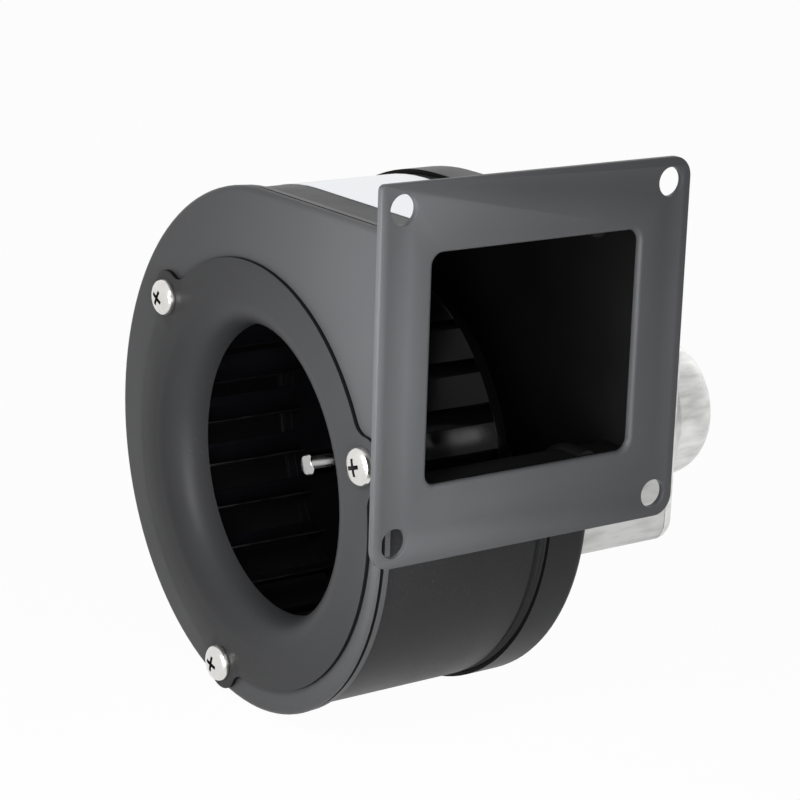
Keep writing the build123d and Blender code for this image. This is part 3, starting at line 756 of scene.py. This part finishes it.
def ground_steel():
    """Ground steel shaft with fine rings of grinding marks."""
    finish = paint("ground_steel")
    rings = finish.noise(cells=900.0, spot=finish.stretched((6.0, 0.05, 0.05)))
    haze = finish.noise(cells=150.0)
    return finish.done(
        Base_Color=finish.colour(rings, GROUND_METAL),
        Metallic=1.0,
        Roughness=finish.uneven(haze, 0.07, 0.16),
        Normal=finish.bump(rings, depth=0.008, strength=0.4),
    )


def bearing_steel():
    """Polished bearing steel."""
    finish = paint("bearing_steel")
    haze = finish.noise(cells=400.0)
    return finish.done(
        Base_Color=finish.colour(haze, BEARING_METAL),
        Metallic=1.0,
        Roughness=finish.uneven(haze, 0.08, 0.2),
    )


def lamination_steel():
    """Stacked sheets of the stator and rotor, seen as fine lines across the axis."""
    finish = paint("lamination_steel")
    layers = finish.noise(cells=2200.0, detail=0.0, spot=finish.stretched((1.0, 0.01, 0.01)))
    return finish.done(
        Base_Color=finish.colour(layers, LAMINATION_METAL),
        Metallic=0.9,
        Roughness=0.45,
        Normal=finish.bump(layers, depth=0.05, strength=0.5),
    )


def hub_metal():
    """Turned steel hub with tool rings."""
    finish = paint("hub_metal")
    rings = finish.noise(cells=1500.0, detail=1.0, spot=finish.stretched((3.0, 0.05, 0.05)))
    return finish.done(
        Base_Color=finish.colour(rings, TURNED_METAL),
        Metallic=1.0,
        Roughness=0.36,
        Normal=finish.bump(rings, depth=0.01, strength=0.5),
    )


def copper_winding():
    """Enamelled copper wire, laid in fine turns."""
    finish = paint("copper_winding")
    turns = finish.node(
        "ShaderNodeTexWave", {"wave_type": "RINGS", "rings_direction": "X"},
        {"Vector": finish.spot(), "Scale": 260.0, "Distortion": 3.0, "Detail": 2.0},
    )
    return finish.done(
        Base_Color=finish.colour(turns, COPPER),
        Metallic=0.7,
        Roughness=0.3,
        Normal=finish.bump(turns, depth=0.2, strength=0.6),
    )


def insulator_plastic():
    """Cream moulded insulator."""
    finish = paint("insulator_plastic")
    clouds = finish.noise(cells=200.0)
    return finish.done(Base_Color=finish.colour(clouds, CREAM), Roughness=finish.uneven(clouds, 0.42, 0.55))


def grommet_rubber():
    """Matt black rubber with a fine moulded texture."""
    finish = paint("grommet_rubber")
    grain = finish.noise(cells=2500.0, detail=2.0)
    return finish.done(
        Base_Color=finish.colour(grain, RUBBER_BLACK),
        Roughness=0.62,
        Normal=finish.bump(grain, depth=0.03, strength=0.4),
    )


def label_foil():
    """Brushed silver label stock, bare."""
    finish = paint("label_foil")
    brushed = finish.noise(cells=1200.0, detail=2.0, spot=finish.stretched((1.0, 0.03, 1.0)))
    return finish.done(
        Base_Color=finish.colour(brushed, FOIL),
        Metallic=0.85,
        Roughness=finish.uneven(brushed, 0.3, 0.42),
    )


# Snail housing


def sweep_scroll():
    """Carries the drawn profile from the outlet's floor round the scroll to its roof."""
    take_all()
    draw(y=TONGUE_CENTRE[0] - MOUTH_Y)
    sweep((0, *TONGUE_CENTRE), X_AXIS, -90, TONGUE_STEPS)
    draw(z=TONGUE_END_Z - TONGUE_CENTRE[1])
    for centre in SPIRAL_CENTRES:
        sweep((0, *centre), X_AXIS, 90, SPIRAL_STEPS)
    draw(y=MOUTH_Y - ROOF_START_Y)


def close_side(cover, x):
    """Fills the flat side of a cover, which lies at that x."""
    choose(cover, lambda p: abs(p.x - x) < TOUCH)
    bpy.ops.mesh.edge_face_add()
    even_sides()


def mouth_tab(name, low, high, coat):
    """A tab of a cover or of the wall, turned out behind the flange."""
    tab = block(name, low, high)
    lay_on(tab, coat)
    ease(tab, width=0.3)
    return tab


def with_side_tab(cover, start, end, coat):
    """Joins a cover with its tab, which goes from one x to another."""
    low = (start, MOUTH_Y, OPENING_Z - TAB_WIDTH / 2)
    high = (end, MOUTH_Y + SHEET, OPENING_Z + TAB_WIDTH / 2)
    cover = joined(cover.name, [cover, mouth_tab("tab", low, high, coat)])
    smooth(cover)
    return cover


def build_front_cover(coats):
    """Shallow pan whose edge is crimped and rolled back over the scroll wall."""
    crimp_end = FRONT_ROUND + 2 * CRIMP_WIDTH
    cover = start_line("front_cover_pan", (FRONT_RIM, MOUTH_Y, TONGUE_Z + CRIMP_DROP))
    draw(x=crimp_end - FRONT_RIM)
    draw(x=-CRIMP_WIDTH, z=CRIMP_DEPTH)
    draw(x=-CRIMP_WIDTH, z=-CRIMP_DEPTH - CRIMP_DROP)
    sweep((FRONT_ROUND, MOUTH_Y, TONGUE_Z + FRONT_ROUND), Y_AXIS, 90, RIM_STEPS)
    sweep_scroll()
    close_side(cover, 0.0)
    lay_on(cover, *coats)
    # The crimp's faces take the near-black coat: painted shade in the crease behind the rolled edge.
    choose(cover, lambda p: FRONT_ROUND - TOUCH < p.x < crimp_end + TOUCH, "FACE")
    cover.active_material_index = 1
    bpy.ops.object.material_slot_assign()
    bpy.ops.mesh.select_mode(type="VERT")
    leave()
    face_outwards(cover, TO_INLET)
    thicken(cover, SHEET, coats=coats)
    access = rod("hole", ACCESS_RADIUS, *FRONT_CUT, vertices=160)
    cut(cover, access, *circle_of_rods(RING_HOLE_RADIUS, FRONT_CUT, RING_SCREW_CIRCLE, RING_SCREW_ANGLES))
    return with_side_tab(cover, -TAB_LENGTH, SHEET, coats[0])


def build_scroll_wall(coats):
    """Strip rolled round the scroll, with the groove that the back cover stops at."""
    wall = start_line("scroll_strip", (WALL_START, MOUTH_Y, TONGUE_Z + WALL_INSET))
    draw(x=GROOVE_START - WALL_START)
    draw(x=GROOVE_SIDE, z=GROOVE_DEPTH)
    draw(x=GROOVE_END - GROOVE_START - 2 * GROOVE_SIDE)
    draw(x=GROOVE_SIDE, z=-GROOVE_DEPTH)
    draw(x=WALL_END - GROOVE_END)
    choose(wall, lambda p: GROOVE_START - NEAR < p.x < GROOVE_END + NEAR)
    round_corners(width=0.45, segments=3)
    sweep_scroll()
    even_sides()
    leave()
    face_outwards(wall, UPWARDS, lambda face: face.center.z)
    thicken(wall, SHEET, coats=coats)
    wall = joined("scroll_strip", [wall, *build_wall_tabs(coats[0])])
    smooth(wall)
    return wall


def build_wall_tabs(coat):
    """The wall's tabs above and below the outlet."""
    start = (SCROLL_DEPTH - TAB_WIDTH) / 2
    end = start + TAB_WIDTH
    roof = ROOF_Z - WALL_INSET
    ground = TONGUE_Z + WALL_INSET
    heights = {
        "roof_tab": (roof - SHEET, roof + TAB_LENGTH),
        "floor_tab": (ground - TAB_LENGTH, ground + SHEET),
    }
    return [
        mouth_tab(name, (start, MOUTH_Y, low), (end, MOUTH_Y + SHEET, high), coat)
        for name, (low, high) in heights.items()
    ]


def build_back_cover(coats):
    """Deep pan over the back of the wall, with the motor's pilot hole."""
    cover = start_line("back_cover_pan", (BACK_RIM, MOUTH_Y, TONGUE_Z))
    draw(x=SCROLL_DEPTH - RIM_ROUND - BACK_RIM)
    sweep((SCROLL_DEPTH - RIM_ROUND, MOUTH_Y, TONGUE_Z + RIM_ROUND), Y_AXIS, -90, RIM_STEPS)
    sweep_scroll()
    close_side(cover, SCROLL_DEPTH)
    leave()
    face_outwards(cover, TO_MOTOR)
    thicken(cover, SHEET, coats=coats)
    pilot = rod("hole", PILOT_RADIUS, *BACK_CUT, vertices=96)
    cut(cover, pilot, *circle_of_rods(MOUNT_HOLE_RADIUS, BACK_CUT, MOUNT_CIRCLE, MOUNT_ANGLES))
    return with_side_tab(cover, SCROLL_DEPTH - SHEET, SCROLL_DEPTH + TAB_LENGTH, coats[0])


def flange_block(name, width, height, middle_z, past=0.0, corner=0.0):
    """A block in the flange's plane, which reaches past both faces of the flange."""
    low = (FLANGE_X - width / 2, FLANGE_FRONT - past, middle_z - height / 2)
    high = (FLANGE_X + width / 2, FLANGE_BACK + past, middle_z + height / 2)
    return block(name, low, high, corner, along="Y", segments=10)


def in_corner(p, side, level):
    """True in one quarter of the flange."""
    return (p.x - FLANGE_X) * side > 0 and (p.z - FLANGE_Z) * level > 0


def on_opening(p):
    """True on the front edge of the flange's opening."""
    beside = abs(p.x - FLANGE_X) < OPENING_WIDTH / 2 + NEAR
    level = abs(p.z - OPENING_Z) < OPENING_HEIGHT / 2 + NEAR
    return beside and level and abs(p.y - FLANGE_FRONT) < NEAR


def round_flange(plate):
    """Rounds the flange's corners, of which the upper one at the inlet is nearly square."""
    edit(plate)
    for side, level in ((-1, -1), (1, -1), (1, 1), (-1, 1)):
        choose(plate, lambda p, side=side, level=level: in_corner(p, side, level), "EDGE")
        corner = FLANGE_INLET_CORNER if (side, level) == (-1, 1) else FLANGE_CORNER
        round_edges(corner, segments=10)
    leave()


def build_flange():
    """Outlet flange with its rounded opening and bolt holes."""
    plate = flange_block("flange_plate", FLANGE_WIDTH, FLANGE_HEIGHT, FLANGE_Z)
    round_flange(plate)
    opening = flange_block("opening", OPENING_WIDTH, OPENING_HEIGHT, OPENING_Z, PAST, OPENING_CORNER)
    cut(plate, opening)
    ends = (FLANGE_FRONT - PAST, FLANGE_BACK + PAST)
    for side in (-1, 1):
        for level in (-1, 1):
            x = FLANGE_X + side * BOLT_SPACING[0] / 2
            z = FLANGE_Z + level * BOLT_SPACING[1] / 2
            cut(plate, rod("hole", BOLT_HOLE_RADIUS, *ends, (x, 0, z), "Y"))
    edit(plate)
    choose(plate, on_opening, "EDGE")
    round_edges(OPENING_ROLL, segments=5)
    leave()
    ease(plate, width=0.25, angle=60.0)
    smooth(plate)
    return plate


# Inlet ring


def build_inlet_ring(coats):
    """Plate with three ears, its mouth rolled in to a short throat."""
    mouth = start_line("inlet_mouth", (-RING_SHEET, MOUTH_RADIUS + MOUTH_FLAT, 0))
    draw(y=-MOUTH_FLAT)
    sweep((MOUTH_ROLL - RING_SHEET, MOUTH_RADIUS, 0), Z_AXIS, 90, steps=16)
    draw(x=LIP_END - MOUTH_ROLL + RING_SHEET)
    turn(MOUTH_STEPS)
    leave()
    ring = joined("inlet_mouth", [build_ear_plate(), mouth])
    edit(ring)
    weld()
    even_sides()
    leave()
    face_outwards(ring, TO_INLET, lambda face: (face.center / MM - FAN).yz.length)
    thicken(ring, RING_SHEET, coats=coats)
    ease(ring, width=0.2, angle=60.0)
    smooth(ring)
    return ring


def draw_ears():
    """Draws the ring's outline: an arc to each ear, and round the ear between two small hollows."""
    to_blend = RING_RADIUS + EAR_BLEND
    ear_to_blend = EAR_RADIUS + EAR_BLEND
    lead = corner_angle(to_blend, RING_SCREW_CIRCLE, ear_to_blend)
    inner = corner_angle(ear_to_blend, RING_SCREW_CIRCLE, to_blend)
    hollow = 180 - lead - inner
    bpy.ops.transform.translate(value=Vector(on_circle(RING_SCREW_ANGLES[0] + lead, RING_RADIUS)) * MM)
    for angle in RING_SCREW_ANGLES:
        ear = angle + EAR_PITCH
        sweep((0, 0, 0), X_AXIS, EAR_PITCH - 2 * lead, steps=40)
        sweep(on_circle(ear - lead, to_blend), X_AXIS, -hollow, steps=8)
        sweep(on_circle(ear, RING_SCREW_CIRCLE), X_AXIS, 2 * (180 - inner), steps=20)
        sweep(on_circle(ear + lead, to_blend), X_AXIS, -hollow, steps=8)
    weld()


def corner_angle(first, second, opposite):
    """The angle between two sides of a triangle, from its three sides."""
    return math.degrees(math.acos((first**2 + second**2 - opposite**2) / (2 * first * second)))


def add_circle(radius, middle, vertices):
    """Adds a circle on the front of the inlet ring."""
    bpy.ops.mesh.primitive_circle_add(
        vertices=vertices, radius=radius * MM, location=place(-RING_SHEET, *middle[1:]),
        rotation=(0, math.pi / 2, 0),
    )


def build_ear_plate():
    """The flat of the inlet ring, filled from its outline to the mouth and the screw holes."""
    plate = start_line("ear_plate", (-RING_SHEET, 0, 0))
    draw_ears()
    bpy.ops.mesh.select_all(action="DESELECT")
    for angle in RING_SCREW_ANGLES:
        add_circle(RING_HOLE_RADIUS, on_circle(angle, RING_SCREW_CIRCLE), vertices=32)
    add_circle(MOUTH_RADIUS + MOUTH_FLAT, (0, 0, 0), MOUTH_STEPS)
    take_all()
    bpy.ops.mesh.fill(use_beauty=True)
    leave()
    return plate


# Screws


def pan_head(name, sizes, metal, recess_shade):
    """One pan-head screw on the fan axis, its head towards the inlet and its seat at x = 0."""
    radius, height, thread_radius, length = sizes
    screw = start_line(name, (length, 0, 0))
    draw(y=thread_radius - THREAD_CHAMFER)
    draw(x=-THREAD_CHAMFER, y=THREAD_CHAMFER)
    draw(x=THREAD_CHAMFER - length)
    draw(y=radius - thread_radius)
    for back, inwards in HEAD_STEPS:
        draw(x=-height * back, y=-radius * inwards)
    choose(screw, lambda p: p.x < -NEAR and p.y > NEAR)
    round_corners(height * HEAD_ROUND, segments=5)
    turn(steps=48)
    leave()
    lay_on(screw, metal)
    arm = radius * RECESS_ARM
    slot = radius * RECESS_SLOT
    bottom = RECESS_DEPTH - height
    for half_y, half_z in ((arm, slot), (slot, arm)):
        recess = block("recess", (-height - PAST, -half_y, -half_z), (bottom, half_y, half_z))
        narrow_end(recess, bottom, RECESS_TIP)
        # The recess takes the near-black coat: painted shade in the cross.
        lay_on(recess, recess_shade)
        combine(screw, recess, "DIFFERENCE", material_mode="TRANSFER")
    ease(screw, width=0.1)
    smooth(screw)
    return screw


def narrow_end(piece, end_x, share):
    """Shrinks one end of a block, as the tip of a driver."""
    edit(piece)
    choose(piece, lambda p: abs(p.x - end_x) < TOUCH)
    bpy.ops.transform.resize(value=(1, share, share), center_override=place(end_x, 0, 0))
    leave()


def set_screws(screw, name, places, twists):
    """Copies a screw to its places, each with its recess at another angle, and joins the copies."""
    screws = []
    for number, ((y, z), twist) in enumerate(zip(places, twists), start=1):
        twin = turned(copy(screw, f"{name}_{number}"), twist)
        screws.append(moved(twin, y=y, z=z))
    bpy.data.objects.remove(screw)
    return joined(f"{name}s", screws)


def build_ring_screws(metal, recess_shade):
    """The three bright screws of the inlet ring."""
    screw = moved(pan_head("ring_screw_0", RING_SCREW, metal, recess_shade), x=-RING_SHEET)
    places = [on_circle(angle, RING_SCREW_CIRCLE)[1:] for angle in RING_SCREW_ANGLES]
    return set_screws(screw, "ring_screw", places, RING_SCREW_TWISTS)


def build_through_screws(metal, recess_shade):
    """The motor's long screws, sunk in the rear bell with their heads towards the back."""
    screw = pan_head("through_screw_0", THROUGH_SCREW, metal, recess_shade)
    screw.data.transform(Matrix.Translation(-place(0, 0, 0)))
    screw.data.transform(Matrix.Rotation(math.pi, 4, "Z"))
    screw.data.transform(Matrix.Translation(place(SINK_START, 0, 0)))
    return set_screws(screw, "through_screw", THROUGH_SCREW_PLACES, THROUGH_SCREW_TWISTS)


def build_mount_screws(metal, recess_shade):
    """The screws inside the housing that hold the motor."""
    screw = moved(pan_head("mount_screw_0", MOUNT_SCREW, metal, recess_shade), x=SCROLL_DEPTH - SHEET)
    places = [on_circle(angle, MOUNT_CIRCLE)[1:] for angle in MOUNT_ANGLES]
    return set_screws(screw, "mount_screw", places, MOUNT_TWISTS)


# Wheel


def build_blades(coats):
    """One forward-curved blade, copied round the wheel."""
    blade = start_line("wheel_blade", (BLADE_START, WHEEL_INSIDE, 0))
    sweep((BLADE_START, WHEEL_INSIDE, BLADE_ARC_RADIUS), X_AXIS, BLADE_ARC_ANGLE, BLADE_STEPS)
    take_all()
    draw(x=BLADE_END - BLADE_START)
    leave()
    thicken(blade, WHEEL_SHEET, 0.0, coats, back=0)
    ease(blade, width=0.2, angle=60.0)
    smooth(blade)
    pitch = 360 / BLADE_COUNT
    blades = [turned(copy(blade, f"wheel_blade_{number}"), number * pitch) for number in range(BLADE_COUNT)]
    bpy.data.objects.remove(blade)
    return joined("wheel_blades", blades)


def build_wheel_side(name, outer_x, inside, side):
    """Front ring or back disc of the wheel, its skirt turned over the blades' ends."""
    plate = start_line(name, (outer_x - side * WHEEL_SHEET, inside, 0))
    draw(x=side * WHEEL_SHEET)
    draw(y=WHEEL_OUTSIDE - inside)
    draw(x=-side * (WHEEL_SHEET + WHEEL_SKIRT))
    draw(y=-SKIRT_SHEET)
    draw(x=side * WHEEL_SKIRT)
    close_ends(plate)
    choose(plate, lambda p: abs(p.x - outer_x) < NEAR and p.y > WHEEL_OUTSIDE - NEAR)
    round_corners(width=0.6, segments=4)
    turn(steps=144)
    leave()
    ease(plate, width=0.12, segments=1, angle=60.0)
    smooth(plate)
    return plate


def build_hub():
    """Hub with its flange against the disc, and the set screw's hole."""
    hub = start_line("wheel_hub", (HUB_START, BORE_RADIUS, 0))
    draw(y=HUB_RADIUS - BORE_RADIUS)
    draw(x=HUB_FLANGE_START - HUB_START)
    draw(y=HUB_FLANGE_RADIUS - HUB_RADIUS)
    draw(x=BLADE_END - HUB_FLANGE_START)
    draw(y=BORE_RADIUS - HUB_FLANGE_RADIUS)
    close_ends(hub)
    turn(steps=96)
    leave()
    drill = rod("drill", SET_HOLE_RADIUS, 0, SET_HOLE_REACH, (SET_HOLE_X, 0, 0), "Z", vertices=32)
    cut(hub, turned(drill, FLAT_TURN))
    ease(hub, width=0.4, segments=3, angle=50.0)
    smooth(hub)
    return hub


def build_shaft():
    """Motor shaft with chamfered ends and a flat for the set screw."""
    shaft = start_line("shaft_rod", (SHAFT_START, 0, 0))
    draw(y=SHAFT_RADIUS - SHAFT_CHAMFER)
    draw(x=SHAFT_CHAMFER, y=SHAFT_CHAMFER)
    draw(x=SHAFT_END - SHAFT_START - 2 * SHAFT_CHAMFER)
    draw(x=SHAFT_CHAMFER, y=-SHAFT_CHAMFER)
    draw(y=SHAFT_CHAMFER - SHAFT_RADIUS)
    turn(steps=64)
    leave()
    wide = SHAFT_RADIUS + PAST
    low = (SHAFT_START - PAST, -wide, SHAFT_RADIUS - FLAT_DEPTH)
    flat = block("flat", low, (HUB_FLANGE_START, wide, SHAFT_RADIUS + 2 * PAST))
    cut(shaft, turned(flat, FLAT_TURN))
    ease(shaft, width=0.08, angle=30.0)
    smooth(shaft, angle=25.0)
    return shaft


# Motor


def motor_block(name, start, end, inset=0.0):
    """A block with the motor's rounded section, made smaller all round by an inset."""
    half_y = MOTOR_WIDTH / 2 - inset
    half_z = MOTOR_HEIGHT / 2 - inset
    return block(name, (start, -half_y, -half_z), (end, half_y, half_z), MOTOR_CORNER - inset)


def build_bracket():
    """Front bracket of the motor with the boss round the front bearing."""
    plate = motor_block("bracket_plate", MOTOR_START, SHELL_START)
    boss = start_line("boss", (MOTOR_START + PAST, 0, 0))
    draw(y=BOSS_RADIUS)
    draw(x=BOSS_START - MOTOR_START - PAST)
    draw(y=-BOSS_RADIUS)
    choose(boss, lambda p: p.x < BOSS_START + NEAR and p.y > BOSS_RADIUS - NEAR)
    round_corners(width=1.0, segments=4)
    turn(steps=96)
    leave()
    combine(plate, boss, "UNION")
    seat = rod("seat", BEARING_RADIUS, FRONT_SEAT_START, SHELL_START + PAST, vertices=96)
    lip = rod("lip", BEARING_LIP_RADIUS, BOSS_START - PAST, FRONT_SEAT_START + PAST, vertices=64)
    ends = (MOTOR_START - PAST, SHELL_START + PAST)
    cut(plate, seat, lip, *circle_of_rods(MOUNT_THREAD_RADIUS, ends, MOUNT_CIRCLE, MOUNT_ANGLES))
    ease(plate, width=0.3, angle=50.0)
    smooth(plate)
    return plate


def build_shell():
    """Motor shell: rounded square tube with the lead's hole on its far side."""
    shell = motor_block("motor_tube", SHELL_START, BELL_START)
    inside = motor_block("inside", SHELL_START - PAST, BELL_START + PAST, MOTOR_WALL)
    side = MOTOR_WIDTH / 2
    where = (LEAD_X, 0, LEAD_Z)
    lead_hole = rod("hole", LEAD_HOLE_RADIUS, side - LEAD_HOLE_DEPTH, side + PAST, where, "Y", vertices=32)
    cut(shell, inside, lead_hole)
    ease(shell, width=0.25, angle=50.0)
    smooth(shell)
    return shell


def build_dome():
    """The bell's cone and domed cap round the rear bearing, which start inside its plate."""
    dome = start_line("dome", (BELL_START + PAST, 0, 0))
    draw(y=CONE_START_RADIUS)
    draw(x=BELL_BASE - PAST)
    draw(x=CONE_END - BELL_FACE, y=DOME_RADIUS - CONE_START_RADIUS)
    draw(x=BELL_END - CONE_END)
    draw(y=-DOME_RADIUS)
    choose(dome, lambda p: p.x > BELL_END - NEAR and p.y > DOME_RADIUS - NEAR)
    round_corners(DOME_ROUND, segments=14)
    choose(dome, lambda p: abs(p.x - CONE_END) < NEAR and abs(p.y - DOME_RADIUS) < NEAR)
    round_corners(width=2.0, segments=5)
    turn(steps=128)
    leave()
    return dome


def build_bell():
    """Rear bell of the motor: plate and dome, hollow behind, with its bearing's seat."""
    plate = motor_block("bell_plate", BELL_START, BELL_FACE)
    edit(plate)
    choose(plate, lambda p: p.x > BELL_FACE - NEAR, "EDGE")
    round_edges(BELL_SHOULDER, segments=8)
    leave()
    combine(plate, build_dome(), "UNION")
    hollow = rod("hollow", BELL_HOLLOW_RADIUS, BELL_START - PAST, BELL_FACE, vertices=96)
    seat = rod("seat", BEARING_RADIUS, BELL_START, REAR_SEAT_END, vertices=96)
    cut(plate, hollow, seat)
    for y, z in sorted(THROUGH_SCREW_PLACES):
        cut(plate, rod("hole", THROUGH_HOLE_RADIUS, BELL_START - PAST, BELL_FACE + PAST, (0, y, z)))
        cut(plate, rod("hole", SINK_RADIUS, SINK_START, BELL_FACE + PAST, (0, y, z)))
    ease(plate, width=0.3, angle=50.0)
    smooth(plate)
    return plate


def build_label():
    """Bare foil label on the roof of the scroll."""
    label = start_line("foil_label", (LABEL_START, LABEL_FRONT_Y, ROOF_Z - WALL_INSET + LABEL_LIFT))
    draw(x=LABEL_WIDTH)
    take_all()
    draw(y=ROOF_START_Y - LABEL_FRONT_Y)
    sweep((0, *SPIRAL_CENTRES[2]), X_AXIS, -LABEL_BEND, steps=4)
    leave()
    face_outwards(label, UPWARDS)
    thicken(label, LABEL_SHEET)
    smooth(label)
    return label


# Stage, lights and camera


def build_stage():
    """Plain pale floor that keeps the object's shadow and shows white to the camera."""
    bpy.ops.object.select_all(action="DESELECT")
    bpy.ops.mesh.primitive_plane_add(size=FLOOR_SIZE, location=(0, 0, cad_low.z - FLOOR_GAP))
    floor = bpy.context.object
    floor.name = "floor"
    finish = paint("floor_white")
    matt = finish.node("ShaderNodeBsdfDiffuse", {}, {"Color": grey(FLOOR_SHADE)})
    white = finish.node("ShaderNodeEmission", {}, {"Color": grey(1.0), "Strength": 1.0})
    share = FLOOR_GLOW * finish.seen_white()
    mixed = finish.node("ShaderNodeMixShader", {}, {0: share, 1: matt, 2: white})
    finish.node("ShaderNodeOutputMaterial", {}, {"Surface": mixed})
    lay_on(floor, finish.owner)


def build_world():
    """White surroundings for the camera and for gloss, and a plain level for the light."""
    world = bpy.data.worlds.new("studio")
    bpy.context.scene.world = world
    finish = Finish(world)
    light = finish.node("ShaderNodeBackground", {}, {"Color": grey(1.0), "Strength": AMBIENT})
    white = finish.node("ShaderNodeBackground", {}, {"Color": grey(1.0), "Strength": 1.0})
    mixed = finish.node("ShaderNodeMixShader", {}, {0: finish.seen_white(), 1: light, 2: white})
    finish.node("ShaderNodeOutputWorld", {}, {"Surface": mixed})


def build_lights():
    """Soft round lamps that look at the middle of the blower."""
    for name, (location, size, power) in LAMPS.items():
        bpy.ops.object.light_add(type="AREA", location=location)
        lamp = bpy.context.object
        lamp.name = name
        lamp.data.shape = "DISK"
        lamp.data.size = size
        lamp.data.energy = power
        lamp.rotation_euler = (LAMP_AIM - Vector(location)).to_track_quat("-Z", "Y").to_euler()


def build_camera():
    """Camera at the photograph's viewing angle."""
    bpy.ops.object.camera_add(location=CAMERA_PLACE)
    camera = bpy.context.object
    camera.name = "photo_camera"
    axes = Matrix((CAMERA_RIGHT, CAMERA_UP, CAMERA_RIGHT.cross(CAMERA_UP))).transposed()
    camera.rotation_euler = axes.to_euler()
    camera.data.sensor_width = CAMERA_SENSOR
    camera.data.lens = CAMERA_LENS
    camera.data.clip_start, camera.data.clip_end = CAMERA_CLIP
    bpy.context.scene.camera = camera


# The whole blower


def dress_housing(shade_paint, nickel):
    """The sheet housing, the inlet ring and its screws."""
    black = powder_coat("powder_coat")
    # The ring's and the wall's coats are darker copies of the same powder coat: painted shade; the wall's
    # also covers the back cover.
    ring_shaded_black = powder_coat("ring_shaded_coat", light=0.58, gloss=0.12)
    wall_shaded_black = powder_coat("wall_shaded_coat", light=0.32, gloss=0.1)
    slot = "housing_black"
    finish_piece(build_front_cover((black, shade_paint)), "housing", slot, black, "front_cover")
    finish_piece(build_scroll_wall((wall_shaded_black, shade_paint)), "housing", slot, wall_shaded_black, "scroll_wall")
    finish_piece(build_back_cover((wall_shaded_black, shade_paint)), "housing", slot, wall_shaded_black, "back_cover")
    finish_piece(build_flange(), "housing", slot, black, "outlet_flange")
    finish_piece(build_inlet_ring((ring_shaded_black, shade_paint)), "housing", slot, ring_shaded_black, "inlet_ring")
    finish_piece(build_ring_screws(nickel, shade_paint), "housing", "bright_screws", nickel, "inlet_ring_screws")


def dress_rotor(turned_steel):
    """The wheel, its hub and the shaft."""
    dull = wheel_paint("wheel_paint", gloss=0.04)
    edge = wheel_paint("wheel_edge_paint", gloss=0.6)
    slot = "wheel_black"
    ring = ("wheel_ring", WHEEL_START, WHEEL_INSIDE, -1)
    disc = ("wheel_disc", WHEEL_END, BORE_RADIUS, 1)
    finish_piece(build_blades((dull, edge)), "rotor", slot, dull, "impeller_blades")
    finish_piece(build_wheel_side(*ring), "rotor", slot, dull, "impeller_front_ring")
    finish_piece(build_wheel_side(*disc), "rotor", slot, dull, "impeller_back_disc")
    finish_piece(build_hub(), "rotor", "hub_metal", turned_steel, "impeller_hub")
    finish_piece(build_shaft(), "rotor", "shaft_steel", ground_steel(), "motor_shaft")


def dress_motor(shade_paint, nickel, cast):
    """The motor's case and its screws."""
    # The bracket and shell take a darker copy of the cast aluminium: painted shade.
    shaded_cast = cast_aluminium("shaded_aluminium", light=0.75)
    oxide_and_shade = shade_blackened_steel()
    slot = "motor_casting"
    finish_piece(build_bracket(), "housing", slot, shaded_cast, "motor_front_bracket")
    finish_piece(build_shell(), "housing", slot, shaded_cast, "motor_shell")
    finish_piece(build_bell(), "housing", slot, cast, "motor_rear_bell")
    through = build_through_screws(nickel, shade_paint)
    mount = build_mount_screws(oxide_and_shade, shade_paint)
    finish_piece(through, "housing", "bright_screws", nickel, "motor_through_screws")
    finish_piece(mount, "housing", "bright_screws", oxide_and_shade, "motor_mount_screws")


def paint_nodes(nickel, cast, turned_steel):
    """Paints the CAD nodes that stay as they are."""
    bearing = bearing_steel()
    laminations = lamination_steel()
    kept = {
        "inlet_ring_nuts": nickel,
        "stator_core": laminations,
        "rotor_core": laminations,
        "rotor_end_rings": cast,
        "stator_windings": copper_winding(),
        "stator_insulators": insulator_plastic(),
        "lead_grommet": grommet_rubber(),
        "preload_washer": bearing,
        "shaft_circlips": bearing,
        "hub_rivets": turned_steel,
        "hub_set_screw": bearing,
    }
    for end in ("front", "rear"):
        for part in ("outer_ring", "inner_ring", "shields", "balls", "cage"):
            kept[f"{end}_bearing_{part}"] = bearing
    for name, material in kept.items():
        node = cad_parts[name]
        node.data.materials.clear()
        lay_on(node, material)


def dress():
    """Builds every visible piece and paints the nodes that stay as they are."""
    # The near-black coat is painted shade for the insides, cut edges, crimp and recesses.
    shade_paint = painted_shade_coat()
    nickel = nickel_plate()
    cast = cast_aluminium("cast_aluminium")
    turned_steel = hub_metal()
    dress_housing(shade_paint, nickel)
    dress_rotor(turned_steel)
    dress_motor(shade_paint, nickel, cast)
    finish_piece(build_label(), "housing", "bright_screws", label_foil())
    paint_nodes(nickel, cast, turned_steel)


build_camera()
dress()
build_stage()
build_world()
build_lights()
bpy.context.scene.view_settings.view_transform = "Standard"
